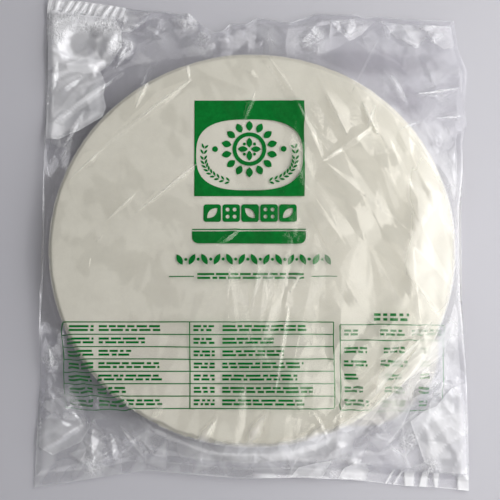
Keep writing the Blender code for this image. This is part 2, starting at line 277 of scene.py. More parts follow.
def outline_reach(angles):
    """How far the outline is from the stack's centre at each angle."""
    corners = np.concatenate([LEFT_EDGE, TOP_EDGE[1:], RIGHT_EDGE[::-1][1:], BOTTOM_EDGE[::-1][1:]])
    corners = corners - np.array(STACK_CENTRE)
    ray_x, ray_y = np.cos(angles), np.sin(angles)
    reach = np.zeros(angles.shape)
    for (ax, ay), (bx, by) in zip(corners[:-1], corners[1:]):
        dx, dy = bx - ax, by - ay
        turn = ray_x * dy - ray_y * dx
        turn = np.where(np.abs(turn) < 1e-9, 1e-9, turn)
        along_ray = (ax * dy - ay * dx) / turn
        along_side = (ax * ray_y - ay * ray_x) / turn
        hit = (along_ray > 0) & (along_side >= -1e-6) & (along_side <= 1 + 1e-6)
        reach = np.where(hit, np.maximum(reach, along_ray), reach)
    return reach


class Triangle(NamedTuple):
    """One flat facet: its corners and their heights."""

    corners: np.ndarray
    heights: np.ndarray


def fill_triangle(field, triangle):
    """Writes a facet's heights into a field over the plan."""
    (ax, ay), (bx, by), (cx, cy) = triangle.corners
    low = (triangle.corners.min(axis=0) - PLAN.low) / PLAN.pitch
    high = (triangle.corners.max(axis=0) - PLAN.low) / PLAN.pitch
    i0, i1 = max(0, math.floor(low[0])), min(field.shape[1], math.ceil(high[0]) + 1)
    j0, j1 = max(0, math.floor(low[1])), min(field.shape[0], math.ceil(high[1]) + 1)
    area = (bx - ax) * (cy - ay) - (cx - ax) * (by - ay)
    if i0 >= i1 or j0 >= j1 or abs(area) < 1e-9:
        return
    x, y = PLAN.x[j0:j1, i0:i1], PLAN.y[j0:j1, i0:i1]
    s = ((x - ax) * (cy - ay) - (cx - ax) * (y - ay)) / area
    t = ((bx - ax) * (y - ay) - (x - ax) * (by - ay)) / area
    inside = (s >= -1e-6) & (t >= -1e-6) & (s + t <= 1 + 1e-6)
    h = triangle.heights
    part = field[j0:j1, i0:i1]
    part[inside] = (h[0] + s * (h[1] - h[0]) + t * (h[2] - h[0]))[inside]


def facets(spacing, seed, lean=0.0, stretch=1.0, shards=False):
    """A field of flat triangles with random corner heights from 0 to 1, as crumpled film has.

    They are stretch times longer in the direction of lean, in degrees from +X, than across it.
    With shards, each of the same triangles has one random value all over instead.
    """
    random = np.random.default_rng(seed)
    half = math.hypot(HALF_WIDTH, HALF_LENGTH) + 2.0 * spacing
    columns = int(2.0 * half / (spacing * stretch)) + 2
    rows = int(2.0 * half / spacing) + 2
    column, row = np.meshgrid(np.arange(columns), np.arange(rows))
    stray = random.uniform(-0.42, 0.42, (2,) + column.shape)
    u = (column + 0.5 * (row % 2) + stray[0]) * spacing - half / stretch
    v = (row + stray[1]) * spacing - half
    heights = random.uniform(0.0, 1.0, column.size)
    flat = [Vector((a, b)) for a, b in zip(u.ravel(), v.ravel())]
    triangles = delaunay_2d_cdt(flat, [], [], 0, 1e-4)[2]
    cosine, sine = math.cos(math.radians(lean)), math.sin(math.radians(lean))
    along = u.ravel() * stretch
    points = np.stack([cosine * along - sine * v.ravel(), sine * along + cosine * v.ravel()], 1)
    field = np.zeros(PLAN.x.shape)
    for corners in triangles:
        values = np.full(3, random.uniform()) if shards else heights[corners]
        fill_triangle(field, Triangle(points[corners], values))
    return field


# Patterns that more than one field of the film is read from
LARGE_FACETS = {"spacing": 15.0, "seed": 11, "lean": 30.0, "stretch": 1.6}
SMALL_FACETS = {"spacing": 7.5, "seed": 12, "lean": -40.0, "stretch": 1.8}
FALLING_PLEATS = {"spacing": 11.0, "seed": 27, "lean": -62.0, "stretch": 5.0}


def seams(shards):
    """1 along the borders of facets of unlike value, and 0 inside them."""
    along, across = np.gradient(shards)
    return smooth(0.04, 0.25, np.hypot(along, across))


def blur(field, times):
    """Rounds off a field's creases."""
    for _ in range(times):
        padded = np.pad(field, 1, mode="edge")
        field = (padded[:-2, 1:-1] + 2.0 * padded[1:-1, 1:-1] + padded[2:, 1:-1]) / 4.0
        padded = np.pad(field, 1, mode="edge")
        field = (padded[1:-1, :-2] + 2.0 * padded[1:-1, 1:-1] + padded[1:-1, 2:]) / 4.0
    return field


# ---------------------------------------------------------------- folds of the film


class Fold(NamedTuple):
    """A straight crease, in millimetres: a roof that tapers to nothing at both ends.

    It runs up the bag, so that the flank on its right faces the window. right and left are the
    widths of its flanks where it is widest, which is at the share peak of its length.
    """

    start: tuple
    end: tuple
    height: float
    right: float
    left: float
    peak: float = 0.5


TOP_LEFT_FOLDS = [
    Fold((-122, 70), (-79, 102), 2.8, 2.6, 9.0, 0.5),
    Fold((-118, 76), (-88, 99.5), 1.2, 1.6, 3.0, 0.7),
    Fold((-88.5, 95), (-78, 102.5), 1.5, 2.0, 4.0),
    Fold((-115, 105), (-89, 108), 3.4, 5.0, 12.0, 0.6),
    Fold((-93, 108), (-82, 128), 3.2, 4.0, 9.0),
    Fold((-122, 129), (-84, 134), 1.2, 2.4, 4.0),
    Fold((-122.5, 88), (-119, 112), 1.6, 2.6, 3.0),
    Fold((-79, 127.5), (-61, 140), 1.6, 3.0, 4.0, 0.4),
    Fold((-115, 54), (-101, 80), 2.6, 2.8, 9.0),
    Fold((-119, 40), (-108, 62), 1.8, 2.4, 6.0),
    Fold((-84, 104), (-77, 119), 1.4, 2.2, 4.0),
]
TOP_RIGHT_FOLDS = [
    Fold((81, 122), (76, 136), 3.0, 6.5, 6.0),
    Fold((101, 118), (80, 127), 2.2, 5.0, 4.5),
    Fold((123, 116.5), (98, 119.5), 1.6, 4.5, 4.5),
    Fold((111, 118), (105, 127), 2.2, 4.5, 4.0),
    Fold((46, 123), (47, 138), 2.6, 6.0, 8.0),
    Fold((55, 124), (60, 137), 1.8, 4.0, 5.0),
    Fold((29, 119), (38, 131), 2.2, 4.5, 5.5),
    Fold((96, 127.5), (110, 130.5), 1.3, 2.4, 3.5),
    Fold((97, 88.5), (124, 92.5), 2.6, 3.0, 4.5, 0.65),
    Fold((107, 73.5), (127, 76), 1.4, 2.6, 4.0),
    Fold((125.5, 88), (126.5, 103), 1.8, 2.5, 3.0),
    Fold((92, 80), (78, 103), 1.6, 3.0, 4.0),
    Fold((74, 62), (64, 82), 1.2, 3.4, 5.0),
    Fold((109, 95), (104, 108), 1.6, 3.0, 4.0),
]
BOTTOM_LEFT_FOLDS = [
    Fold((-117.5, -86), (-122, -60), 1.6, 2.6, 3.0),
    Fold((-102, -108), (-124, -88), 2.2, 5.5, 8.0, 0.4),
    Fold((-127, -125), (-99, -107), 1.8, 3.0, 5.0),
    Fold((-63, -130), (-79.5, -109), 1.9, 3.4, 5.0, 0.6),
    Fold((-106, -129), (-88, -136), 1.6, 4.5, 4.0),
    Fold((-95, -133), (-97, -100), 1.6, 4.5, 5.5),
    Fold((-90, -102), (-112, -68), 1.0, 2.4, 4.0),
    Fold((-82, -133), (-85, -112), 1.2, 3.4, 4.0),
]
BOTTOM_RIGHT_FOLDS = [
    Fold((23, -138), (47, -130.5), 1.8, 3.5, 4.5),
    Fold((50, -138), (64, -129), 1.8, 4.0, 5.5),
    Fold((66, -132), (98, -131), 1.3, 3.5, 3.0),
    Fold((77, -122), (100, -104.5), 2.0, 4.4, 4.4, 0.6),
    Fold((109, -127), (98, -104.5), 1.8, 4.0, 5.5),
    Fold((122, -109), (109, -91), 1.6, 4.0, 4.5),
    Fold((123, -144), (119, -119), 1.5, 3.0, 4.5),
    Fold((60, -119), (90, -96), 1.2, 4.0, 4.5),
    Fold((90, -98), (111, -74), 1.4, 4.0, 4.5),
]
STACK_FOLDS = [
    Fold((-110, 35), (-88, 55.5), 1.1, 2.2, 6.0, 0.6),
    Fold((-94, 50.5), (-36, 97), 1.3, 2.8, 7.0, 0.7),
    Fold((-88, 58), (-50, 89), 0.7, 1.6, 3.0, 0.5),
    Fold((-72, 14), (-33, 46), 1.15, 2.6, 4.6, 0.75),
    Fold((-89, 9.5), (-69, 28.5), 0.6, 1.8, 3.6, 0.7),
    Fold((-71, 77), (-57.5, 110), 1.1, 2.2, 4.0, 0.4),
    Fold((-38, 93), (-42, 114), 1.0, 2.0, 3.4, 0.4),
    Fold((25, 86), (7.5, 111), 1.0, 2.4, 5.0, 0.5),
    Fold((20, 86.5), (4.5, 108.5), 0.6, 1.5, 3.0, 0.5),
    Fold((42, 46), (22, 90), 0.9, 2.8, 6.0, 0.4),
    Fold((56, 61), (37, 99), 1.7, 8.5, 4.0, 0.35),
    Fold((38, 45), (75, 71), 1.2, 3.2, 6.0, 0.6),
    Fold((93, 3), (38, 49), 1.3, 4.4, 9.0, 0.5),
    Fold((-8, 65), (1.5, 91), 0.9, 2.0, 3.6, 0.7),
    Fold((3, 97), (-9, 103.5), 1.0, 3.4, 3.4, 0.4),
    Fold((-10, -55), (-13, -27), 0.8, 2.6, 3.2, 0.5),
    Fold((3, -54), (6, -22), 0.6, 3.4, 4.0, 0.6),
    Fold((17, -46), (21, -26), 0.6, 4.2, 2.6, 0.5),
    Fold((23, -34), (33, -20), 0.5, 3.0, 3.0, 0.5),
    Fold((-24, -4), (-6, 8), 0.6, 2.6, 3.0, 0.5),
    Fold((30, -30), (36, 6), 0.9, 8.0, 4.0, 0.6),
    Fold((20, -34), (32, -7), 1.0, 2.6, 5.0, 0.5),
    Fold((12, -92), (21.5, -30), 1.0, 1.8, 5.0, 0.6),
    Fold((36, -119), (58, -90), 1.2, 3.0, 4.5, 0.5),
    Fold((55, -94), (106, -47), 1.3, 3.8, 6.0, 0.4),
    Fold((-58, -116), (-82, -88), 1.1, 2.6, 4.6, 0.4),
    Fold((43.5, -117), (35, -101), 1.0, 2.4, 3.4, 0.4),
    Fold((-98, -20), (-96, -6), 0.3, 1.2, 2.4, 0.5),
    Fold((-94, -3), (-88, 5), 0.4, 1.3, 2.4, 0.5),
]
# Wide soft folds over the rim, whitened all over
TONGUES = [
    Fold((-33, -121), (-20, -101), 1.2, 5.0, 4.6, 0.35),
    Fold((-5, -121), (10, -97), 1.5, 6.0, 5.0, 0.35),
    Fold((30, -119), (45, -104), 1.2, 5.0, 4.0, 0.4),
    Fold((-62, -108), (-50, -92), 0.8, 4.0, 3.6, 0.4),
]
# Long ribbons of film whitened on both flanks of a fold: painted highlight bands where the film
# glints along it
PAINTED_GLINT_RIBBONS = [
    Fold((-120.3, 71.3), (-82, 100), 1.0, 2.3, 2.0, 0.5),
    Fold((-113, 103), (-92, 106.5), 0.5, 2.4, 2.4, 0.6),
    Fold((-70, 78), (-62, 108), 0.7, 1.4, 1.2, 0.6),
    Fold((-94, 52), (-38, 96), 0.7, 2.6, 1.4, 0.7),
    Fold((-72, 14), (-33, 46), 0.9, 2.2, 1.5, 0.75),
    Fold((-89, 9.5), (-69, 28.5), 0.5, 1.6, 1.6, 0.7),
    Fold((-110, 35), (-88, 55.5), 0.6, 1.0, 1.2, 0.6),
    Fold((-66.5, -123), (-78.5, -110), 1.0, 1.1, 1.1, 0.6),
    Fold((54, 79), (80, 132), 0.2, 2.0, 1.6, 0.5),
    Fold((97.5, 88.5), (123, 92.3), 1.2, 1.3, 1.2, 0.6),
    Fold((107.5, 73.6), (127, 76.2), 0.9, 1.1, 1.0, 0.6),
    Fold((93, 80), (81, 103), 0.9, 2.6, 2.2, 0.5),
    Fold((86, 65.5), (102, 72), 0.8, 1.3, 1.3, 0.5),
    Fold((67, 66), (73, 82), 0.7, 1.6, 1.2, 0.4),
    Fold((65, 78), (71, 69), 0.6, 1.2, 1.6, 0.6),
]
# Flat crumples that bend the light from below away: the middle of each, and its reach across the
# bag and along it
DARKENED = [(74, 107, 44, 9), (91, 84, 14, 9), (70, -116, 17, 18)]
# The crest of the swell along the right of the stack, from its lower end up
RIGHT_SWELL = np.array([
    (88, -75), (91.5, -48), (95, -30), (94, -6), (101, 9), (115, 31), (118, 45),
])
ALL_FOLDS = (
    TOP_LEFT_FOLDS + TOP_RIGHT_FOLDS + BOTTOM_LEFT_FOLDS + BOTTOM_RIGHT_FOLDS + STACK_FOLDS)


class Crumple(NamedTuple):
    """A patch of crumples: its middle, its radius, and how thick and which way its folds lie.

    count is the number of folds in it, lean the way that most of them run, in degrees from +X,
    and size how long the longest are.
    """

    x: float
    y: float
    radius: float
    count: int
    lean: float = 60.0
    size: float = 16.0


CRUMPLES = [
    Crumple(-112, 100, 22, 12, 40, 26), Crumple(-104, 131, 20, 9, 80, 14),
    Crumple(-82, 118, 8, 14, 60, 9), Crumple(-119, 125, 9, 8, 70, 12),
    Crumple(-110, 64, 14, 10, 60, 18), Crumple(-65, 109, 9, 5, 70, 10),
    Crumple(-39, 134, 8, 14, 80, 8), Crumple(-32, 121, 9, 12, 25, 8),
    Crumple(-58, 127, 12, 6, 20, 14), Crumple(0, 122, 18, 10, 15, 12),
    Crumple(35, 122, 12, 26, 70, 9), Crumple(62, 122, 14, 8, 10, 16),
    Crumple(96, 122, 20, 12, 165, 20), Crumple(84, 92, 12, 16, 100, 13),
    Crumple(98, 107, 11, 8, 70, 14), Crumple(114, 95, 16, 8, 10, 22),
    Crumple(110, 68, 13, 16, 165, 12), Crumple(126, 97, 7, 10, 100, 8),
    Crumple(67, 74, 8, 5, 70, 9), Crumple(-121, -71, 9, 8, 80, 12),
    Crumple(-117, -98, 16, 14, 140, 18), Crumple(-96, -126, 17, 16, 30, 18),
    Crumple(-94, -100, 11, 7, 120, 14), Crumple(-66, -122, 12, 7, 140, 16),
    Crumple(84, -112, 18, 16, 35, 18), Crumple(106, -126, 20, 30, 70, 15),
    Crumple(114, -100, 18, 22, 50, 20), Crumple(52, -133, 14, 12, 60, 12),
    Crumple(14, -134, 20, 12, 60, 10), Crumple(-36, -132, 14, 6, 60, 10),
]

# Spots where the film is crushed into the finest crinkles: place and reach
CRINKLED = [
    ((-82, 118), 9), ((-119, 124), 8), ((-39, 134), 8), ((-30, 121), 8), ((35, 123), 9),
    ((-96, -133), 9), ((-121, -71), 7), ((92, -118), 8), ((104, -134), 9),
]

# The flat white teeth in the bottom weld, painted glints of its ribs: where each starts and ends
# along the bag's end, at its inner end and at the cut edge, and how far up the bag those two are
TEETH_INNER, TEETH_CUT = -136.5, -146.0
LOWER_TEETH = [
    ((82.0, 83.2), (76.8, 77.8)), ((87.3, 88.6), (81.6, 82.8)),
    ((89.1, 95.4), (89.9, 94.9)), ((100.2, 103.8), (98.0, 102.4)),
    ((106.1, 110.3), (107.5, 109.0)), ((121.1, 127.5), (121.1, 128.0)),
]

# The crumpled upper left, whose folds reach in over the rim
CRUMPLED_CORNER = Region((-40.0, -80.0), (40.0, 80.0))
# The upper right and the lower left, where the film stands lower
LOW_STANDING = (Region((20.0, 50.0), (40.0, 60.0)), Region((-84.0, -100.0), (-94.0, -106.0)))
# The upper right, where crumples whiten the film less
CLEAR_CORNER = Region((30.0, 60.0), (40.0, 60.0))
# The upper right and the lower right, where the margins lie dull
DULL_CORNERS = (Region((40.0, 70.0), (55.0, 75.0)), Region((44.0, 62.0), (-88.0, -98.0)))
# The lower right, where the film is flatter and milky
MILKY_CORNER = Region((62.0, 90.0), (-84.0, -102.0))
# The bottom end, right of the crumpled lower left
BOTTOM_END = Region((-50.0, -10.0), (-118.0, -128.0))
# The right of the stack, where a veil of glare is painted onto the film
PAINTED_GLARE_SIDE = Region((26.0, 50.0), (-48.0, -18.0))
# The middle of the flat film in the upper left flap
FLAT_PLACE = (-103.0, 119.0)
# The middle of the film that is drawn down over the rim at the lower right
DRAWN_PLACE = (84.0, -84.0)


def scattered_folds(seed):
    """The short folds of all patches, drawn at random but the same each time."""
    random = np.random.default_rng(seed)
    folds = []
    for patch in CRUMPLES:
        for _ in range(patch.count):
            away = patch.radius * math.sqrt(random.uniform())
            turn = random.uniform(0.0, 2.0 * math.pi)
            x, y = patch.x + away * math.cos(turn), patch.y + away * math.sin(turn)
            lean = math.radians(patch.lean + random.normal(0.0, 38.0))
            if math.sin(lean) < 0.0:
                lean += math.pi
            half = patch.size * random.uniform(0.2, 0.5)
            reach = (half * math.cos(lean), half * math.sin(lean))
            right = half * random.uniform(0.14, 0.34)
            folds.append(Fold(
                (x - reach[0], y - reach[1]), (x + reach[0], y + reach[1]),
                right * random.uniform(0.25, 0.55), right, right * random.uniform(0.8, 2.2),
                random.uniform(0.25, 0.75)))
    return folds


def roof(fold, x, y):
    """A fold's height over points of the plan."""
    start, end = np.array(fold.start, float), np.array(fold.end, float)
    length = math.hypot(*(end - start))
    ahead = (end - start) / length
    along = ((x - start[0]) * ahead[0] + (y - start[1]) * ahead[1]) / length
    across = (y - start[1]) * ahead[0] - (x - start[0]) * ahead[1]
    taper = np.clip(np.minimum(along / fold.peak, (1.0 - along) / (1.0 - fold.peak)), 0.0, 1.0)
    taper = np.maximum(1e-6, taper) ** 0.8
    width = np.where(across > 0.0, fold.left, fold.right) * taper
    return fold.height * taper * np.clip(1.0 - np.abs(across) / width, 0.0, 1.0)


def fold_relief(folds):
    """The highest of the folds at each point of the plan."""
    relief = np.zeros(PLAN.x.shape)
    for fold in folds:
        reach = max(fold.left, fold.right) + 1.0
        low = np.minimum(fold.start, fold.end) - reach
        high = np.maximum(fold.start, fold.end) + reach
        i0, j0 = np.maximum(0, ((low - PLAN.low) / PLAN.pitch).astype(int))
        i1, j1 = ((high - PLAN.low) / PLAN.pitch).astype(int) + 1
        part = relief[j0:j1, i0:i1]
        np.maximum(part, roof(fold, PLAN.x[j0:j1, i0:i1], PLAN.y[j0:j1, i0:i1]), out=part)
    return relief


def saw_teeth(phase, rise):
    """A row of pleats, from 0 to 1, one for each whole number of the phase.

    rise is the share of a pleat that climbs, and the rest of it slopes down again.
    """
    saw = phase - np.floor(phase)
    return np.where(saw < rise, saw / rise, (1.0 - saw) / (1.0 - rise))


def gathers(pitch, slant, seed):
    """The slanted ribs of an end weld, from 0 to 1, where the jaws gathered the film unevenly."""
    drift = 0.8 * wave(31.0, 21.5) + 0.5 * wave(11.0, 23.5)
    phase = (PLAN.x - slant * PLAN.y) / pitch + drift
    number = np.floor(phase).astype(int)
    number -= number.min()
    strength = np.random.default_rng(seed).uniform(0.55, 1.0, number.max() + 1)
    return saw_teeth(phase, 0.42) * strength[number]


# The most that the painted veil of glare whitens the film over the sheets. Above it the render's
# noise filter draws a line round the veil
GLARE_VEIL_LIMIT = 0.23


class FilmShape:
    """The heights of both films over the plan, in millimetres, and what follows from them."""

    weld_width, top_weld_width = 8.5, 3.0
    rib_pitch, rib_slant, rib_height = 5.0, 0.45, 1.2
    side_fold = 5.0
    snug_margin, slack_margin = 8.0, 32.0
    snug_lift, slack_lift, least_lift = 6.8, 1.6, 0.3
    edge_wave, edge_wave_length = 1.3, 24.0
    sheet_wave, sheet_wave_length = 0.5, 75.0
    under_rise = 1.6
    tent_hollow = 1.35
    pocket_gap = 1.1
    weld_gap = 0.25
    least_gap = 0.12
    over_sheets = 0.15
    table_gap = 0.05

    def __init__(self, radius, ovality, height, shoulder, reach, big, small):
        self.radius, self.ovality, self.height = radius, ovality, height
        self.measure()
        self.lay_films(shoulder, reach, big, small)
        self.note_finish()

    def measure(self):
        """How far each point is past the stack's rim, and from the bag's sides and ends."""
        x, y = PLAN.x, PLAN.y
        self.arm_x, self.arm_y = x - STACK_CENTRE[0], y - STACK_CENTRE[1]
        self.angle = np.arctan2(self.arm_y, self.arm_x)
        angles = np.linspace(-math.pi, math.pi, 1441)
        outline = np.interp(self.angle, angles, outline_reach(angles))
        rim = self.rim(self.angle)
        self.past_rim = np.hypot(self.arm_x, self.arm_y) - rim
        self.margin = np.maximum(1.0, outline - rim)
        self.from_side = np.minimum(distance_to(LEFT_EDGE, x, y), distance_to(RIGHT_EDGE, x, y))
        self.from_top = distance_to(TOP_EDGE, x, y)
        self.from_bottom = distance_to(BOTTOM_EDGE, x, y)
        self.from_end = np.minimum(self.from_top, self.from_bottom)

    def lay_films(self, shoulder, reach, big, small):
        """The heights of the lower film, the uppermost sheet and the upper film."""
        self.loose = self.looseness()
        slack = smooth(self.snug_margin, self.slack_margin, self.margin)
        lift = self.snug_lift + (self.slack_lift - self.snug_lift) * slack
        lift = lift + self.edge_wave * wave(self.edge_wave_length, EDGE_LAYER)
        share = np.clip(self.past_rim / self.margin, 0.0, 1.0)
        rest = np.maximum(self.least_lift, lift) * share ** self.under_rise
        self.sheets = self.height - self.over_sheets
        self.sheets = self.sheets + self.sheet_wave * wave(self.sheet_wave_length, SHEET_LAYER)
        self.sheets = self.sheets - self.droop()

        flatter = 1.0 - 0.6 * smooth(95.0, 118.0, PLAN.x)
        gap = self.weld_gap + (self.pocket_gap - self.weld_gap) * self.loose * flatter
        resting = rest + gap
        span = np.minimum(reach, self.margin)
        down = np.clip((self.past_rim + shoulder) / (span + shoulder), 0.0, 1.0)
        top = self.sheets + self.over_sheets
        tent = resting + (top - resting) * (1.0 - down) ** self.tent_hollow

        under = rest + self.table_gap + self.under_relief(small)
        self.upper = np.maximum(tent + self.relief(big, small), tent)
        self.under = np.minimum(under, self.upper - self.least_gap)

    def looseness(self):
        """0 where the two films are joined, at the sides and in the welds, 1 where they part."""
        narrow = smooth(-72.0, -60.0, PLAN.x) * (PLAN.y > 0.0)
        weld = self.weld_width + (self.top_weld_width - self.weld_width) * narrow
        at_side = smooth(0.0, self.side_fold, self.from_side)
        at_end = smooth(weld - 3.0, weld + 2.0, self.from_end)
        return np.minimum(at_side, at_end)

    def note_finish(self):
        """The fields that the film's material reads."""
        drawn = spot(DRAWN_PLACE, 44.0, 18.0)
        self.drawn = drawn * facets(6.5, 65, lean=46.0, stretch=7.0, shards=True) ** 1.5
        self.haze = self.crease_haze()
        over_rim = smooth(-24.0, -8.0, self.past_rim) * smooth(16.0, 6.0, self.past_rim)
        self.milk = self.cloudiness_and_glare() + (0.06 * drawn + 0.3 * self.drawn) * over_rim
        self.crinkle = self.crinkles()
        self.cling = blur(self.clinging(), 2)
        self.bent = blur(self.bending(), 1)
        # Over the sheets the whitened film gets a painted cream tint, standing for light bounced up
        # from the sheets
        self.painted_cream_bounce = smooth(0.0, -4.0, self.past_rim - 14.0 * drawn)

    def rim(self, angle):
        """The stack's radius at an angle."""
        return self.radius * (1.0 + self.ovality * np.cos(2.0 * angle))

    def relief(self, big, small):
        """How far folds, crumples and ribs lift the upper film off its tent."""
        crumpled = smooth(0.0, 10.0, self.past_rim - 2.0 - 14.0 * CRUMPLED_CORNER.share())
        self.patches = np.zeros(PLAN.x.shape)
        for patch in CRUMPLES:
            near = min(1.0, patch.count / 16.0) * spot((patch.x, patch.y), patch.radius + 6.0, 4.0)
            np.maximum(self.patches, near, out=self.patches)
        billows = np.clip(0.45 + 0.6 * wave(19.0, 33.5), 0.0, 1.0)
        upper_right, lower_left = LOW_STANDING
        quiet = 1.0 - 0.65 * upper_right.share() - 0.45 * lower_left.share()
        quiet -= 0.85 * MILKY_CORNER.share() + 0.7 * spot(FLAT_PLACE, 16.0, 8.0)
        facet_share = np.maximum(0.35 + 0.65 * self.patches, 0.7 * BOTTOM_END.share()) * quiet
        relief = 0.4 * billows * quiet + facet_share * facets(**LARGE_FACETS)
        relief *= crumpled * big
        relief += crumpled * facet_share * small * facets(**SMALL_FACETS)
        relief += self.pleats()
        relief += fold_relief(ALL_FOLDS) * (1.0 - 0.75 * MILKY_CORNER.share())
        relief += 0.5 * blur(fold_relief(TONGUES), 4)
        relief += quiet * (0.25 + 0.75 * crumpled) * fold_relief(scattered_folds(71))
        return relief * self.loose + self.rib_height * self.weld_ribs()

    def weld_ribs(self):
        """The ribs of the end welds, from 0 to 1. It also notes where ribs are, and where the ribs'
        glints are painted white.
        """
        x, y = PLAN.x, PLAN.y
        in_weld = smooth(self.weld_width + 1.5, self.weld_width - 1.5, self.from_end)
        gathered = gathers(self.rib_pitch, self.rib_slant, 81)
        self.ribbed = in_weld * smooth(-76.0, -79.0, x) * (y > 0)
        slim = 0.3 * smooth(-96.0, -80.0, x)
        self.painted_teeth_glints = smooth(0.35 + slim, 0.55 + slim, gathered) * self.ribbed
        up = np.clip((y - TEETH_CUT) / (TEETH_INNER - TEETH_CUT), 0.0, 1.0)
        for inner, outer in LOWER_TEETH:
            left, right = (outer[side] + (inner[side] - outer[side]) * up for side in (0, 1))
            tooth = smooth(-0.3, 0.3, x - left) * smooth(0.3, -0.3, x - right)
            np.maximum(self.painted_teeth_glints, tooth * in_weld * (y < 0), out=self.painted_teeth_glints)
        ribs = gathered * self.ribbed * smooth(0.0, 0.8, self.from_end)
        return ribs * smooth(0.0, self.side_fold, self.from_side)

    def pleats(self):
        """The shallow waves and pleats of the film that lies on the sheets."""
        x, y = PLAN.x, PLAN.y
        slack = smooth(-30.0, 50.0, x - 0.1 * y)
        broad = 2.4 * facets(25.0, 21, lean=-55.0, stretch=1.7) * slack
        broad += 1.0 * facets(11.0, 26, lean=-60.0, stretch=2.2) * slack
        broad += 0.25 * facets(27.0, 22)
        right = smooth(30.0, 8.0, np.hypot((x - 88.0) / 0.8, (y - 32.0) / 1.35))
        falling = 0.8 * right * facets(3.4, 23, lean=-66.0, stretch=9.0)
        veiled = smooth(26.0, 58.0, x + 0.15 * y) * smooth(-62.0, -30.0, y)
        falling += veiled * 1.7 * facets(**FALLING_PLEATS)
        rising = 2.0 * spot(DRAWN_PLACE, 44.0, 20.0) * facets(8.5, 24, lean=47.0, stretch=6.0)
        middle = smooth(-28.0, 4.0, x) * smooth(66.0, 46.0, x) * smooth(-4.0, -20.0, y)
        upright = middle * 1.5 * facets(8.0, 25, lean=82.0, stretch=5.0)
        return broad + falling + rising + upright + self.right_swell() + self.middle_swell()

    @staticmethod
    def middle_swell():
        """The film's low swell under the middle of the print, which slopes gently to the right."""
        x, y = PLAN.x, PLAN.y
        rise = smooth(-62.0, -24.0, x) * (1.0 - np.clip((x + 24.0) / 62.0, 0.0, 1.0))
        return 3.0 * rise * smooth(-78.0, -52.0, y) * smooth(4.0, -18.0, y)

    @staticmethod
    def right_swell():
        """The film's swell along the right of the stack, which slopes down to the bag's side."""
        x, y = PLAN.x, PLAN.y
        crest = np.interp(y, RIGHT_SWELL[:, 1], RIGHT_SWELL[:, 0])
        outward = 1.0 - np.clip((x - crest) / 27.0, 0.0, 1.0)
        rise = np.where(x < crest, smooth(-26.0, 0.0, x - crest), outward)
        return 2.2 * rise * smooth(-75.0, -45.0, y) * smooth(45.0, 22.0, y)

    def droop(self):
        """How far the tight film has pulled the sheets' rims down on the right."""
        right = smooth(60.0, 25.0, np.abs(np.degrees(self.angle) + 3.0))
        return 4.2 * right * np.clip(1.0 + self.past_rim / 28.0, 0.0, 1.0) ** 1.4

    def under_relief(self, small):
        """The shallower crumples of the lower film, in the margins."""
        loose = self.loose * smooth(2.0, 14.0, self.past_rim)
        return loose * small * 0.6 * facets(9.0, 31)

    def crease_haze(self):
        """0 on smooth film and 1 on sharp creases, welds and cut edges: the film's own crease
        whitening, with painted highlights along the creases and cut edges and painted reflections
        on random facets.
        """
        bend = np.zeros(self.upper.shape)
        middle = self.upper[1:-1, 1:-1]
        across = self.upper[1:-1, 2:] + self.upper[1:-1, :-2] - 2.0 * middle
        along = self.upper[2:, 1:-1] + self.upper[:-2, 1:-1] - 2.0 * middle
        bend[1:-1, 1:-1] = np.abs(across) + np.abs(along)
        haze = 0.75 * smooth(0.14, 0.65, bend)
        # Random facets whitened one by one: painted reflections, as if each caught the window
        cloud_and_glint = facets(**SMALL_FACETS, shards=True) ** 2
        cloud_and_glint = 0.7 * cloud_and_glint + 0.5 * facets(**LARGE_FACETS, shards=True) ** 2
        outside = smooth(-3.0, 3.0, self.past_rim)
        calm = 0.6 * CLEAR_CORNER.share() + 0.8 * MILKY_CORNER.share()
        haze = haze + (0.12 + 0.88 * self.patches) * cloud_and_glint * outside * (1.0 - calm)
        haze = haze + 0.3 * self.painted_rim_highlight() + self.stretched()
        # The whitened cut ends and sides are painted edge highlights
        at_side = 0.08 * smooth(0.9, 0.1, self.from_side)
        cut = np.maximum(0.5 * smooth(0.9, 0.1, self.from_end), at_side)
        return np.maximum(haze, cut) + 0.3 * self.painted_teeth_glints

    def painted_rim_highlight(self):
        """1 where a highlight is painted on the film drawn down over the rim, along the lower end
        of the stack.
        """
        away = np.maximum(1.0, np.hypot(self.arm_x, self.arm_y))
        below = smooth(0.3, 0.9, -self.arm_y / away) * smooth(-44.0, -4.0, PLAN.x)
        below = below * (1.0 - 0.6 * smooth(48.0, 76.0, PLAN.x))
        return below * smooth(-5.0, -1.0, self.past_rim) * smooth(13.0, 3.0, self.past_rim)

    def cloudiness_and_glare(self):
        """How milky the film is, from 0 to 1, apart from what its creases whiten, together with
        painted veils of glare and painted highlights over the rim, the folds and the welds.
        """
        x, y = PLAN.x, PLAN.y
        outside = smooth(-3.0, 3.0, self.past_rim)
        corner = smooth(74.0, 92.0, x + 0.3 * (y + 120.0)) * smooth(-84.0, -102.0, y) * outside
        plates = facets(9.0, 66, lean=50.0, stretch=1.7, shards=True)
        in_weld = smooth(self.weld_width + 1.0, self.weld_width - 1.0, self.from_bottom)
        corner = corner * (1.0 - 0.8 * in_weld)
        milk = corner * (0.16 + 0.2 * plates ** 1.5 + 0.15 * seams(plates))
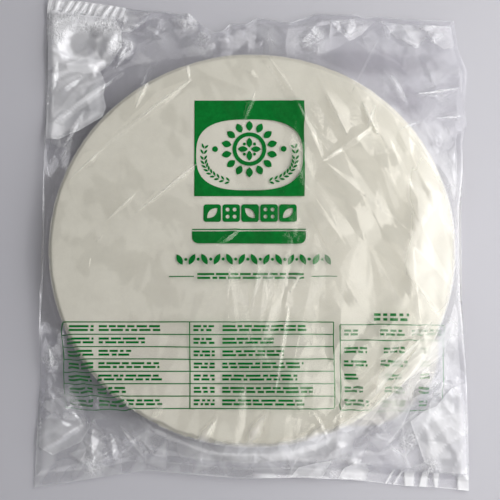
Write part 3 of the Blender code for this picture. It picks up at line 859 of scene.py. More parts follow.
        # Along the bottom end the film is whitened: painted light that lifts the stack's shadow,
        # and painted reflection
        glare_streaks = blur(facets(9.0, 67, lean=70.0, stretch=2.0, shards=True), 6)
        low = smooth(-98.0, -118.0, y) * outside
        milk += (1.0 - MILKY_CORNER.share()) * low * (0.13 + 0.25 * glare_streaks ** 1.5)
        milk += 0.5 * self.painted_rim_highlight() * (0.3 + 0.7 * facets(6.0, 61, shards=True))
        milk += 0.55 * blur(fold_relief(TONGUES), 5) * smooth(2.0, -1.0, self.past_rim)
        milk += 0.55 * fold_relief(PAINTED_GLINT_RIBBONS)
        # Over the sheets, at the right and in the middle: a painted veil of glare, standing for the
        # window mirrored in the film
        on_sheets = smooth(-1.0, -5.0, self.past_rim)
        falling = facets(**FALLING_PLEATS, shards=True)
        glare_veil = on_sheets * PAINTED_GLARE_SIDE.share() * (0.16 + 0.2 * falling)
        middle = smooth(1.0, 0.1, np.hypot((x - 12.0) / 50.0, (y + 34.0) / 18.0))
        glare_veil += middle * (0.12 + 0.5 * facets(8.0, 68, lean=68.0, stretch=2.6, shards=True) ** 1.5)
        milk += np.minimum(glare_veil, GLARE_VEIL_LIMIT)
        return np.clip(milk + 0.4 * self.ribbed + 0.6 * self.painted_teeth_glints, 0.0, 1.0)

    def stretched(self):
        """The haze of film drawn tight over the rim: ribbons at the lower right, a band above."""
        x, y = PLAN.x, PLAN.y
        along_side = smooth(86.0, 106.0, x + 5.0 * wave(21.0, 66.5)) * smooth(-82.0, -50.0, y)
        return 0.22 * self.drawn + 0.6 * along_side * smooth(64.0, 30.0, y)

    def clinging(self):
        """1 where the film lies dull, stuck to a sheet or to the film below, 0 where it shines."""
        low = smooth(20.0, -10.0, PLAN.y)
        ribbons = low * facets(8.0, 63, lean=82.0, stretch=4.5, shards=True)
        ribbons += (1.0 - low) * facets(9.0, 64, lean=-58.0, stretch=4.0, shards=True)
        level = wave(24.0, 61.5) + 0.5 * wave(9.0, 62.5) + 0.9 * (ribbons - 0.5)
        upper, lower = (corner.share() for corner in DULL_CORNERS)
        calm = np.maximum(upper, lower) * smooth(-2.0, 4.0, self.past_rim)
        stuck = smooth(0.02, 0.16, level + 0.1) * smooth(-1.0, -4.0, self.past_rim)
        return np.maximum(stuck, calm)

    def bending(self):
        """How much of the light from below the film's crumples bend away, from 0 to 1."""
        dark = np.zeros(PLAN.x.shape)
        for x, y, across, along in DARKENED:
            away = np.hypot((PLAN.x - x) / across, (PLAN.y - y) / along)
            np.maximum(dark, smooth(1.15, 0.6, away), out=dark)
        flakes = facets(10.0, 69, lean=-30.0, stretch=1.6, shards=True)
        return dark * (0.5 + 0.5 * flakes) * smooth(1.0, 4.0, self.past_rim) * self.loose

    def crinkles(self):
        """0 on plain film, 1 where it is finely crinkled: next to a weld and in tight crumples."""
        by_weld = smooth(1.0, self.weld_width, self.from_top)
        by_weld *= smooth(self.weld_width + 13.0, self.weld_width + 6.0, self.from_top)
        fine = by_weld * smooth(-70.0, -84.0, PLAN.x)
        for place, reach in CRINKLED:
            fine = np.maximum(fine, spot(place, reach, 0.3 * reach))
        return fine * (0.4 + 0.6 * facets(5.0, 62, shards=True))

    def slope(self):
        """The upper film's slope across and along the bag, without its finest creases."""
        along, across = np.gradient(blur(self.upper, 6), PLAN.pitch)
        return across, along


@functools.lru_cache(maxsize=2)
def film_shape(*sizes):
    """The film's shape, worked out once for each set of sizes."""
    return FilmShape(*sizes)


def current_shape(bag):
    """The film's shape for the settings as they are."""
    stack, film = bag.stack, bag.film
    return film_shape(
        round(stack.diameter / 2.0 / MM, 4), round(stack.ovality, 5), round(stack.height / MM, 4),
        round(film.shoulder / MM, 4), round(film.tent_reach / MM, 4),
        round(film.big_crumple / MM, 4), round(film.small_crumple / MM, 4))


# ---------------------------------------------------------------- meshes


def add_piece(name, points, faces, material, plan_uv=None):
    """A new smooth mesh object from points in millimetres, with a bake map if one is given."""
    if isinstance(faces, np.ndarray):
        faces = faces.tolist()
    data = bpy.data.meshes.new(name)
    data.from_pydata((np.asarray(points) * MM).tolist(), [], faces)
    data.materials.append(material)
    data.shade_smooth()
    if plan_uv is not None:
        layer = data.uv_layers.new(name="OFBake")
        corner_points = np.empty(len(data.loops), dtype=np.int32)
        data.loops.foreach_get("vertex_index", corner_points)
        layer.data.foreach_set("uv", np.asarray(plan_uv)[corner_points].ravel())
    piece = bpy.data.objects.new(name, data)
    bpy.context.scene.collection.objects.link(piece)
    return piece


def stand_for_bag(piece):
    """The piece rides on the bag's body and takes the solid's place."""
    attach(piece, BODY)
    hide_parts(NODE)


def grid_faces(rows, columns, closed=False):
    """The quads of a grid of points in rows, whose rows may close into rings."""
    last = columns if closed else columns - 1
    i, j = np.meshgrid(np.arange(last), np.arange(rows - 1))
    i, j = i.ravel(), j.ravel()
    after = (i + 1) % columns
    return np.stack([j * columns + i, j * columns + after,
                     (j + 1) * columns + after, (j + 1) * columns + i], 1)


def plan_map(x, y):
    """The bake map's coordinates of points in the plan."""
    return np.stack([(x + HALF_WIDTH) / (2.0 * HALF_WIDTH),
                     (y + HALF_LENGTH) / (2.0 * HALF_LENGTH)], -1)


# The columns and rows of points in each half of the upper film, and in the plainer lower film
UPPER_GRID, LOWER_GRID = (230, 430), (250, 284)


def film_grid(columns, rows, low=0.0, high=1.0):
    """Points in rows from the bottom end to the top end, bounded by the outline.

    low and high are shares of the bag's width, where a piece of it starts and stops.
    """
    u = np.linspace(low, high, columns)[None, :]
    v = np.linspace(0.0, 1.0, rows)[:, None]

    def share(edge, axis):
        return (edge[:, axis] - edge[0, axis]) / (edge[-1, axis] - edge[0, axis])

    left = np.interp(v, share(LEFT_EDGE, 1), LEFT_EDGE[:, 0])
    right = np.interp(v, share(RIGHT_EDGE, 1), RIGHT_EDGE[:, 0])
    bottom = np.interp(u, share(BOTTOM_EDGE, 0), BOTTOM_EDGE[:, 1])
    top = np.interp(u, share(TOP_EDGE, 0), TOP_EDGE[:, 1])
    x = left + (right - left) * u
    y = bottom + (top - bottom) * v
    return x, y


def note_values(piece, **fields):
    """Keeps numbers for each point of a mesh as attributes that its material reads."""
    for name, values in fields.items():
        layer = piece.data.attributes.new(name, "FLOAT", "POINT")
        layer.data.foreach_set("value", np.asarray(values).ravel().astype(np.float32))


def film_sheet(name, heights, finish, x, y, material):
    """Film over a grid of points. finish holds the fields of its haze, its crinkles and so on."""
    rows, columns = x.shape
    points = np.stack([x, y, PLAN.read(heights, x, y)], -1).reshape(-1, 3)
    piece = add_piece(
        name, points, grid_faces(rows, columns), material, plan_map(x, y).reshape(-1, 2))
    note_values(piece, **{key: PLAN.read(field, x, y) for key, field in finish.items()})
    along, across = np.gradient(heights, PLAN.pitch)
    normals = np.stack([-PLAN.read(across, x, y), -PLAN.read(along, x, y), np.ones(x.shape)], -1)
    normals = normals.reshape(-1, 3)
    normals /= np.linalg.norm(normals, axis=1)[:, None]
    piece.data.normals_split_custom_set_from_vertices(normals.tolist())
    stand_for_bag(piece)


# ---------------------------------------------------------------- materials


class Nodes:
    """A material's node tree, with short calls to add and join nodes."""

    def __init__(self, name):
        self.material = bpy.data.materials.new(name)
        self.material.use_nodes = True
        self.tree = self.material.node_tree
        self.tree.nodes.clear()
        self.output = self.add("ShaderNodeOutputMaterial")

    def add(self, kind, inputs=None, **settings):
        """A node with the values, or the sockets, that its inputs take."""
        node = self.tree.nodes.new(kind)
        for key, value in settings.items():
            setattr(node, key, value)
        for key, value in (inputs or {}).items():
            socket = node.inputs[key]
            if isinstance(value, bpy.types.NodeSocket):
                self.tree.links.new(value, socket)
            else:
                socket.default_value = value
        return node

    def position(self):
        return self.add("ShaderNodeTexCoord").outputs["Object"]

    def field(self, name):
        """A number that note_values keeps at the mesh's points."""
        return self.add("ShaderNodeAttribute", attribute_name=name).outputs["Fac"]

    def noise(self, scale, detail=2.0, roughness=0.5, vector=None):
        inputs = {"Vector": vector or self.position(), "Scale": scale,
                  "Detail": detail, "Roughness": roughness}
        return self.add("ShaderNodeTexNoise", inputs).outputs["Fac"]

    def ramp(self, value, low, high, out_low=0.0, out_high=1.0):
        """A value brought from one range into another and kept inside it."""
        inputs = {"Value": value, "From Min": low, "From Max": high,
                  "To Min": out_low, "To Max": out_high}
        return self.add("ShaderNodeMapRange", inputs).outputs["Result"]

    def math(self, operation, a, b):
        return self.add("ShaderNodeMath", {0: a, 1: b}, operation=operation).outputs["Value"]

    def mix_colour(self, share, a, b):
        return self.add("ShaderNodeMix", {0: share, 6: a, 7: b}, data_type="RGBA").outputs[2]

    def bump(self, height, strength, distance):
        inputs = {"Height": height, "Strength": strength, "Distance": distance}
        return self.add("ShaderNodeBump", inputs).outputs["Normal"]

    def finish(self, shader):
        self.tree.links.new(shader, self.output.inputs["Surface"])
        return self.material


def opaque(colour):
    return (*colour, 1.0)


def wafer_material(stack):
    """Matte starch sheet: cream, faintly blotched, with the fine tooth of the baking plates."""
    nodes = Nodes("wafer_sheet")
    blotches = nodes.ramp(nodes.noise(75.0, 5.0, 0.7), 0.34, 0.64)
    specks = nodes.ramp(nodes.noise(900.0, 2.0), 0.3, 0.7)
    share = nodes.math("ADD", nodes.math("MULTIPLY", blotches, 0.7),
                       nodes.math("MULTIPLY", specks, 0.3))
    colour = nodes.mix_colour(share, opaque(stack.shade), opaque(stack.cream))
    tooth = nodes.math("ADD", nodes.noise(1400.0, 2.0), nodes.noise(160.0, 3.0))
    shader = nodes.add("ShaderNodeBsdfPrincipled", {
        "Base Color": colour,
        "Roughness": nodes.ramp(specks, 0.0, 1.0, 0.80, 0.95),
        "Normal": nodes.bump(tooth, 0.35, 0.0002),
        "Specular IOR Level": 0.25,
    })
    return nodes.finish(shader.outputs[0])


# The share of a crease's whiteness that still mirrors
MIRRORED = 0.2
# The colour of the light that the flattest crumples let through
BENT = (0.80, 0.79, 0.81)
# The colour of whitened film over the table, and the cream painted onto it over the sheets, which
# stands for the light that the sheets send back up through it
WHITE = (0.98, 0.98, 1.0)
PAINTED_BOUNCE_CREAM = (1.0, 0.975, 0.9)


def film_material(film):
    """Clear glossy film that mirrors little from above, much at a slant, and whitens in creases,
    where painted highlights and painted reflections whiten it too.
    """
    nodes = Nodes("clear_film")
    haze = nodes.field("haze")
    turned = nodes.add("ShaderNodeMapping", {
        "Vector": nodes.position(), "Rotation": (0.4, 0.3, 0.7)}).outputs[0]
    ripple = nodes.noise(420.0, 3.0, 0.6, turned)
    stray = nodes.add("ShaderNodeTexNoise", {"Vector": nodes.position(), "Scale": 300.0}).outputs[1]
    warped = nodes.add("ShaderNodeVectorMath", {
        0: stray, 1: (0.005, 0.005, 0.005), 2: nodes.position()}, operation="MULTIPLY_ADD")
    creases = nodes.add("ShaderNodeTexVoronoi", {
        "Vector": warped.outputs[0], "Scale": 480.0}, feature="DISTANCE_TO_EDGE").outputs[0]
    crinkled = nodes.field("crinkle")
    crinkle = nodes.math("MULTIPLY", nodes.ramp(creases, 0.0, 0.25), crinkled)
    relief = nodes.math("ADD", nodes.math("MULTIPLY", ripple, 0.15), crinkle)
    normal = nodes.bump(relief, 0.8, 0.0004)
    facing = nodes.add("ShaderNodeLayerWeight", {"Blend": 0.5, "Normal": normal}).outputs["Facing"]
    slant = nodes.math("POWER", facing, 5.0)
    cling = nodes.field("cling")
    from_above = nodes.ramp(cling, 0.0, 1.0, film.gloss, 0.3 * film.gloss)
    gloss = nodes.ramp(slant, 0.0, 1.0, from_above, 1.0)
    mirror = nodes.math("ADD", gloss, nodes.math("MULTIPLY", haze, MIRRORED * film.haze))
    # Milky film: partly its own cloudiness, partly painted glare and highlights
    milk = nodes.field("milk")
    web = nodes.math("MULTIPLY", nodes.ramp(creases, 0.0, 0.12, 0.5, 0.0), crinkled)
    white = nodes.math("MULTIPLY", haze, (1.0 - MIRRORED) * film.haze)
    white = nodes.math("ADD", white, nodes.math("ADD", milk, web))
    share = nodes.math("ADD", mirror, white)
    bent = nodes.field("bent")
    clear = nodes.add("ShaderNodeBsdfTransparent", {
        "Color": nodes.mix_colour(bent, opaque(film.tint), opaque(BENT))})
    # Painted bounce light: whitened film over the sheets is tinted cream
    painted_cream_bounce = nodes.field("painted_cream_bounce")
    shine = nodes.add("ShaderNodeBsdfPrincipled", {
        "Base Color": nodes.mix_colour(painted_cream_bounce, opaque(WHITE), opaque(PAINTED_BOUNCE_CREAM)),
        "Metallic": nodes.math("DIVIDE", mirror, share),
        "Roughness": nodes.ramp(haze, 0.0, 1.0, film.roughness, 0.34),
        "Normal": normal,
    })
    mixed = nodes.add("ShaderNodeMixShader", {
        0: share, 1: clear.outputs[0], 2: shine.outputs[0]})
    return nodes.finish(mixed.outputs[0])


def ink_material(label):
    """Green ink, laid a little unevenly on the film, which alone gives it its gloss."""
    nodes = Nodes("green_ink")
    thin = nodes.ramp(nodes.noise(260.0, 4.0, 0.7), 0.35, 0.75)
    light = tuple(min(1.0, channel * 1.45) for channel in label.ink)
    colour = nodes.mix_colour(thin, opaque(label.ink), opaque(light))
    shader = nodes.add("ShaderNodeBsdfPrincipled", {
        "Base Color": colour,
        "Roughness": nodes.ramp(thin, 0.0, 1.0, 0.35, 0.5),
        "Normal": nodes.bump(nodes.noise(700.0, 2.0), 0.1, 0.0001),
        "Specular IOR Level": 0.0,
    })
    return nodes.finish(shader.outputs[0])


def table_material(stage):
    """Plain smooth pale surface."""
    nodes = Nodes("pale_table")
    mottle = nodes.ramp(nodes.noise(9.0, 3.0), 0.3, 0.7)
    low = tuple(channel * 0.985 for channel in stage.table)
    colour = nodes.mix_colour(mottle, opaque(low), opaque(stage.table))
    shader = nodes.add("ShaderNodeBsdfPrincipled", {
        "Base Color": colour,
        "Roughness": nodes.ramp(mottle, 0.0, 1.0, 0.55, 0.6),
        "Specular IOR Level": 0.2,
    })
    return nodes.finish(shader.outputs[0])


@functools.lru_cache(maxsize=None)
def shared_material(make, group_name):
    """One material for all pieces that share a finish."""
    return make(getattr(bpy.context.scene.wafer_bag, group_name))


# ---------------------------------------------------------------- flaps


class Flap(NamedTuple):
    """A part of the film that lies folded over the rest, in millimetres.

    milk is how cloudy it is, with any painted reflection that whitens it, billow how high it stands
    off, and seed draws its facets. pocket is an oval clear place in it with a white lower edge, as
    its middle and its two reaches, and patch is the outline of its whitest place, a painted
    reflection.
    """

    name: str
    outline: tuple
    milk: float
    billow: float
    seed: int
    pocket: tuple = ()
    patch: tuple = ()


FLAPS = [
    Flap("film_flap_top_left", (
        (-124.2, 141), (-104, 138), (-84, 136), (-80, 128), (-79.5, 118), (-86.5, 107.5),
        (-92.5, 103), (-89, 95), (-90, 88), (-88, 80), (-89.5, 73.5), (-104, 66), (-117, 61),
        (-125, 62)), 0.62, 1.0, 51,
        (-103.0, 122.0, 9.3, 11.5),
        ((-113.8, 107.6), (-106.7, 110.6), (-95.3, 107.6), (-93.2, 102.4), (-102.5, 101.2),
         (-112.6, 103.3))),
    Flap("film_fold_top", (
        (-78, 141), (-62.3, 139.5), (-66, 133), (-73, 127.5), (-80, 127)), 0.3, 0.8, 57),
    Flap("film_flap_top_right", (
        (46, 133), (52, 127), (58, 121), (65, 125), (74, 134), (80, 130), (85.5, 123), (99, 117),
        (104, 123), (115, 116), (122, 118), (119.5, 130), (90, 131.5), (60, 134.5)), 0.2, 0.7, 52),
    Flap("film_flap_bottom_right", (
        (92.5, -107), (100, -101), (108, -98), (116, -88), (125, -84), (126.2, -138), (110, -137),
        (101, -131), (97, -119)), 0.25, 0.15, 53),
    Flap("film_flap_bottom_left", (
        (-126.5, -93), (-119.5, -86), (-106.5, -90), (-101, -99), (-97, -110.5), (-102, -119),
        (-119, -127), (-127.2, -122)), 0.14, 0.6, 54),
    Flap("film_fold_bottom_middle", (
        (22, -139.5), (26.5, -134), (36, -131), (45.5, -129.5), (44, -134), (40.5, -139.8)),
        0.5, 0.6, 55),
    Flap("film_fold_bottom_inner", (
        (50, -140.5), (53.5, -134.5), (60, -130), (66, -131.5), (68.5, -136), (66.5, -141.8)),
        0.4, 0.6, 56),
]


def make_flap(flap, shape, material):
    """One folded-over part of the film, draped on the rest, with a whitened edge that is a painted
    edge highlight.
    """
    corners, faces = fill([list(flap.outline)], 1.2)
    x, y = corners[:, 0], corners[:, 1]
    edge = distance_to(np.array([*flap.outline, flap.outline[0]]), x, y)
    broad = {"spacing": 13.0, "seed": flap.seed, "lean": 40.0, "stretch": 1.5}
    stands = facets(**broad)
    crisp = facets(6.5, flap.seed + 10, lean=60.0, stretch=1.8)
    rise = 0.3 + smooth(0.0, 6.0, edge) * (
        flap.billow * PLAN.read(stands, x, y) + 0.2 * flap.billow * PLAN.read(crisp, x, y))
    z = PLAN.read(shape.upper, x, y) + rise
    piece = add_piece(flap.name, np.stack([x, y, z], 1), faces, material, plan_map(x, y))
    cloud_and_glint = PLAN.read(blur(facets(**broad, shards=True), 1), x, y)
    milk = flap.milk * (0.6 + 0.8 * cloud_and_glint ** 1.5) * (0.6 + 0.4 * smooth(0.0, 5.0, edge))
    if flap.pocket:
        middle_x, middle_y, across, along = flap.pocket
        away = np.hypot((x - middle_x) / across, (y - middle_y) / along)
        milk *= 1.0 - 0.5 * smooth(1.2, 0.7, away)
        lower = smooth(middle_y + 3.0, middle_y - 5.0, y)
        milk += 0.25 * lower * smooth(0.3, 0.0, np.abs(away - 1.05))
    # The patch is a painted reflection: a white place where the flap mirrors a lamp
    if flap.patch:
        milk = np.maximum(milk, 0.8 * within(flap.patch, x, y, 2.2))
    milk = milk + PLAN.read(shape.milk, x, y)
    haze = 0.35 * flap.milk + 0.6 * PLAN.read(shape.haze, x, y)
    uneven = np.clip(0.6 + 0.9 * PLAN.read(wave(14.0, 58.5), x, y), 0.1, 1.0)
    # The flap's edge is whitened: a painted edge highlight
    haze += (0.2 + 0.7 * flap.milk) * uneven * smooth(1.1, 0.2, edge)
    note_values(piece, haze=haze, milk=milk, crinkle=PLAN.read(shape.crinkle, x, y),
                cling=PLAN.read(shape.cling, x, y))
    stand_for_bag(piece)


# ---------------------------------------------------------------- sheets

# How broad the ring of a middle sheet is, and how thick the two whole sheets are, in millimetres
RING_BREADTH, WHOLE_THICKNESS = 11.0, 0.25


def sheet_levels(shape, count):
    """The height of each sheet's upper face at the middle of the stack, from the bottom up."""
    bottom = 2.0 * shape.table_gap
    return bottom + (shape.height - shape.over_sheets - bottom) * (np.arange(count) + 1) / count


def sheet_rims(shape, stack, random, around=220):
    """The rims of the sheets between the lowest and the uppermost, as thin closed rings."""
    angle = np.arange(around) * 2.0 * math.pi / around
    levels = sheet_levels(shape, stack.sheets)
    thickness = levels[1] - levels[0]
    points, faces, maps = [], [], []
    for number, level in enumerate(levels[:-1]):
        stray = np.clip(random.normal(0.0, stack.stray / MM, 2), -0.9, 0.9)
        rim = sheet_rim(shape, stack, random, angle, level)
        inner = rim - RING_BREADTH
        share = level / levels[-1]
        profile = [
            (inner, -thickness * 0.95), (rim - 0.15, -thickness * 0.95), (rim, -thickness * 0.5),
            (rim - 0.12, -0.02 * thickness), (rim - 3.0, 0.0), (inner, 0.0),
        ]
        ring = []
        for radius, above in profile:
            x = STACK_CENTRE[0] + stray[0] + radius * np.cos(angle)
            y = STACK_CENTRE[1] + stray[1] + radius * np.sin(angle)
            swell = (PLAN.read(shape.sheets, x, y) - shape.height + shape.over_sheets) * share
            ring.append(np.stack([x, y, level + above + swell], 1))
        rings = len(profile)
        first = len(points) * around * rings
        quads = grid_faces(rings, around, closed=True)
        seam = np.stack([(rings - 1) * around + np.arange(around),
                         (rings - 1) * around + (np.arange(around) + 1) % around,
                         (np.arange(around) + 1) % around, np.arange(around)], 1)
        faces.append(np.concatenate([quads, seam]) + first)
        points.append(np.concatenate(ring))
        v = (number + np.linspace(0.1, 0.9, rings)) / len(levels)
        maps.append(np.stack(np.meshgrid(angle / (2.0 * math.pi), v), -1).reshape(-1, 2))
    return np.concatenate(points), np.concatenate(faces), np.concatenate(maps)


def sheet_rim(shape, stack, random, angle, level):
    """One sheet's outline: the stack's, smaller under the film's shoulder, and nibbled."""
    shoulder = 0.6 * smooth(shape.height - 1.2, shape.height, level)
    rim = shape.rim(angle) - 0.3 - shoulder + random.uniform(-0.2, 0.1)
    for waves in (3, 5, 9, 17):
        rim += 0.12 * math.sqrt(3.0 / waves) * np.sin(waves * angle + random.uniform(0.0, 6.3))
    worn = smooth(0.55, 0.2, np.abs(np.angle(np.exp(1j * (angle + 1.85)))))
    nibble = np.abs(random.normal(0.0, 1.0, angle.size))
    rim -= stack.fray / MM * nibble * (0.6 + 3.0 * worn)
    return rim - worn * random.uniform(0.0, 1.6)


def whole_sheet(shape, stack, random, level, rings, around, facing_up):
    """One whole sheet as a thin closed disc: its outer face is cockled, its inner one plain."""
    angle = np.arange(around) * 2.0 * math.pi / around
    rim = sheet_rim(shape, stack, random, angle, level)
    share = np.linspace(0.0, 1.0, rings + 1)[1:] ** 0.8
    swell = shape.sheets - shape.height + shape.over_sheets
    swell = swell * (level / (shape.height - shape.over_sheets))
    cockle = 0.10 * (blur(facets(11.0, 41), 6) - 0.5) + 0.06 * (blur(facets(5.0, 42), 3) - 0.5)
    cockle *= smooth(0.0, -8.0, shape.past_rim)

    def face(offset, factor):
        x = STACK_CENTRE[0] + np.outer(share, rim * np.cos(angle))
        y = STACK_CENTRE[1] + np.outer(share, rim * np.sin(angle))
        z = level + offset + PLAN.read(swell + factor * cockle, x, y)
        middle = [*STACK_CENTRE, level + offset + PLAN.read(swell, *STACK_CENTRE)]
        ring_points = np.stack([x, y, z], -1).reshape(-1, 3)
        return np.concatenate([ring_points, [middle]])

    upper = face(0.0, 1.0 if facing_up else 0.0)
    lower = face(-WHOLE_THICKNESS, 0.0 if facing_up else 1.0)
    count = len(upper)
    rows = grid_faces(rings, around, closed=True)
    hub = np.stack([np.full(around, count - 1), np.arange(around),
                    (np.arange(around) + 1) % around], 1)
    edge = (rings - 1) * around + np.arange(around)
    after = (rings - 1) * around + (np.arange(around) + 1) % around
    wall = np.stack([edge, edge + count, after + count, after], 1)
    faces = [*rows[:, ::-1].tolist(), *hub.tolist(),
             *(rows + count).tolist(), *(hub[:, ::-1] + count).tolist(), *wall.tolist()]
    return np.concatenate([upper, lower]), faces


# ---------------------------------------------------------------- print

# The layout of the print over the plan, in millimetres. A box is its left, low, right and high side
FIELD_BOX = (-35.1, 25.9, 30.3, 83.1)
OVAL_MIDDLE, OVAL_REACH, OVAL_FULLNESS = (-2.4, 50.6), (31.6, 21.2), 2.8
SPRIG_REACH = (27.2, 16.8)
ROSETTE_MIDDLE = (-2.4, 54.0)
RING_RADII = (10.0, 7.7)
INNER_LEAF, INNER_LEAVES = (0.9, 6.9, 3.4), 4
OUTER_LEAF, OUTER_LEAVES = (10.9, 16.9, 4.0), 14
BEAD_REACH, BEAD_RADIUS = 4.3, 0.9
SIDE_BEAD_REACH, SIDE_BEAD_RADIUS = 20.4, 1.7
TOKENS_LEFT, TOKENS_RIGHT, TOKENS_MIDDLE, TOKEN_SIZE = -29.6, 25.6, 15.9, 10.4
BAR_BOX, BAR_ROUNDING, BAR_LINE_MIDDLE = (-36.3, -2.4, 30.9, 5.1), 4.0, 6.2
LEAF_ROW_LEFT, LEAF_ROW_RIGHT, LEAF_ROW_MIDDLE, LEAF_ROW_HEIGHT = -46.9, 47.4, -11.8, 7.2
SUBTITLE_LEFT, SUBTITLE_RIGHT, SUBTITLE_MIDDLE = -32.8, 30.3, -21.4
SIDE_LINES, SIDE_LINES_MIDDLE = ((-49.5, -34.8), (33.9, 49.2)), -21.6
LEFT_TABLE_BOX, LEFT_TABLE_DIVIDER, LEFT_TABLE_ROWS = (-111.4, -98.8, 47.1, -48.3), -37.2, 7
RIGHT_TABLE_BOX, RIGHT_TABLE_RULE, RIGHT_TABLE_ROWS = (50.7, -99.6, 110.9, -49.9), -58.9, 5
RIGHT_TABLE_HEADS = ((53.0, 61.0), (74.0, 88.0), (92.0, 109.0))
RIGHT_TABLE_TITLE = (70.4, 90.5, -45.6)
# Where the entries of the right table's outer columns start, and the middle of those between them
RIGHT_TABLE_NAMES, RIGHT_TABLE_AMOUNTS, RIGHT_TABLE_SHARES = 53.0, 82.0, 97.0
SMALL_PRINT = 3.9  # the height of a line of small print


class Column(NamedTuple):
    """Small print in a column of the left table, placed from the column's left side.

    label is where its labels start and end, entry where its entries start, and entry_length the
    least and the most that they run. The two words are the longest strokes of each.
    """

    left: float
    label: tuple
    label_word: float
    entry: float
    entry_length: tuple
    entry_word: float


LEFT_TABLE_COLUMNS = (
    Column(LEFT_TABLE_BOX[0], (3.0, 17.5), 15.0, 20.5, (12.0, 46.0), 8.0),
    Column(LEFT_TABLE_DIVIDER, (2.2, 14.5), 5.0, 19.0, (18.0, 60.0), 9.0),
)


def box_loop(x0, y0, x1, y1, low=0.0, high=0.0):
    """A rectangle's outline. low and high are the radii of its lower and its upper corners."""
    loop = []
    for cx, cy, radius, turn in ((x1 - low, y0 + low, low, -90), (x1 - high, y1 - high, high, 0),
                                 (x0 + high, y1 - high, high, 90), (x0 + low, y0 + low, low, 180)):
        for step in range(7 if radius > 0.0 else 1):
            angle = math.radians(turn + 15 * step)
            loop.append((cx + radius * math.cos(angle), cy + radius * math.sin(angle)))
    return loop


def oval_loop(cx, cy, rx, ry, count=72, power=2.0):
    """An oval's outline; a power over 2 makes it fuller in its corners."""
    loop = []
    for i in range(count):
        angle = 2.0 * math.pi * i / count
        c, s = math.cos(angle), math.sin(angle)
        loop.append((cx + rx * math.copysign(abs(c) ** (2.0 / power), c),
                     cy + ry * math.copysign(abs(s) ** (2.0 / power), s)))
    return loop


def petal_loop(cx, cy, angle, inner, outer, width):
    """A pointed leaf that stands on a circle round a centre."""
    loop = []
    for step in range(16):
        side, t = (1.0, step / 8.0) if step <= 8 else (-1.0, 2.0 - step / 8.0)
        reach = inner + (outer - inner) * t
        across = side * width / 2.0 * math.sin(math.pi * t) ** 0.8
        loop.append((cx + reach * math.cos(angle) - across * math.sin(angle),
                     cy + reach * math.sin(angle) + across * math.cos(angle)))
    return loop


def finely(loop, step):
    """A loop with points at most a step apart."""
    points = []
    for (ax, ay), (bx, by) in zip(loop, loop[1:] + loop[:1]):
        count = max(1, math.ceil(math.hypot(bx - ax, by - ay) / step))
        points += [(ax + (bx - ax) * i / count, ay + (by - ay) * i / count) for i in range(count)]
    return points


def inside(loops, x, y):
    """Whether points lie inside an odd number of the loops."""
    odd = np.zeros(np.shape(x), bool)
    for loop in loops:
        for (ax, ay), (bx, by) in zip(loop, loop[1:] + loop[:1]):
            if ay == by:
                continue
            crosses = (ay > y) != (by > y)
            odd ^= crosses & (x < ax + (bx - ax) * (y - ay) / (by - ay))
    return odd


def fill(loops, step=1.1):
    """Triangles of one printed shape, small enough to follow the film."""
    loops = [finely(loop, step) for loop in loops]
    points, edges = [], []
    for loop in loops:
        first = len(points)
        points += loop
        edges += [(first + i, first + (i + 1) % len(loop)) for i in range(len(loop))]
    rim = np.array(points)
    low, high = rim.min(axis=0), rim.max(axis=0)
    across = np.arange(low[0] + step / 2, high[0], step)
    along = np.arange(low[1] + step / 2, high[1], step)
    if len(across) > 1 and len(along) > 1:
        x, y = (part.ravel() for part in np.meshgrid(across, along))
        clear = inside(loops, x, y)
        for dx, dy in ((0.35, 0), (-0.35, 0), (0, 0.35), (0, -0.35)):
            clear &= inside(loops, x + dx * step, y + dy * step)
        points += list(zip(x[clear], y[clear]))
    made = delaunay_2d_cdt([Vector(point) for point in points], edges, [], 0, 1e-5)
    corners = np.array([(v.x, v.y) for v in made[0]])
    faces = np.array(made[2])
    middle = corners[faces].mean(axis=1)
    return corners, faces[inside(loops, middle[:, 0], middle[:, 1])]


def print_piece(name, shapes, bag, depth=0.07):
    """Printed shapes, laid a depth under the upper film and carried along by its folds."""
    shape = current_shape(bag)
    across, along = shape.slope()
    wobble = bag.label.wobble / MM
    points, faces, count = [], [], 0
    for loops in shapes:
        corners, triangles = fill(loops)
        points.append(corners)
        faces.append(triangles + count)
        count += len(corners)
    flat = np.concatenate(points)
    x = flat[:, 0] - wobble * PLAN.read(across, flat[:, 0], flat[:, 1])
    y = flat[:, 1] - wobble * PLAN.read(along, flat[:, 0], flat[:, 1])
    z = PLAN.read(shape.upper, x, y) - depth
    ink = shared_material(ink_material, "label")
    piece = add_piece(
        name, np.stack([x, y, z], 1), np.concatenate(faces), ink,
        plan_map(flat[:, 0], flat[:, 1]))
    stand_for_bag(piece)


def bar(x0, x1, middle, width):
    """A level line as a printed shape."""
    return [box_loop(x0, middle - width / 2, x1, middle + width / 2)]


def upright(y0, y1, middle, width):
    """An upright line as a printed shape."""
    return [box_loop(middle - width / 2, y0, middle + width / 2, y1)]


def small_print(x0, x1, middle, random, longest=9.0, height=SMALL_PRINT):
    """A line of small print as two finer lines of plain strokes, broken as words are."""
    shapes = []
    for level in (0.28, -0.28):
        x = x0
        while x < x1 - 0.8:
            end = min(x1, x + random.uniform(0.25, 1.0) * longest)
            shapes.append(bar(x, end, middle + level * height, height * 0.32))
            x = end + height * random.uniform(0.22, 0.38)
    return shapes


def leaf_row(x0, x1, middle, height, count=13):
    """A row of leaves, slanting up and down by turns, with a dot between each two."""
    shapes = []
    pitch = (x1 - x0) / count
    for i in range(count):
        cx = x0 + (i + 0.5) * pitch
        lean = math.radians(60 if i % 2 else 120)
        reach = height * 0.5
        shapes.append([petal_loop(cx, middle, lean, -reach, reach, height * 0.44)])
        if i:
            shapes.append([oval_loop(cx - pitch / 2, middle, 0.9, 0.9, 16)])
    return shapes


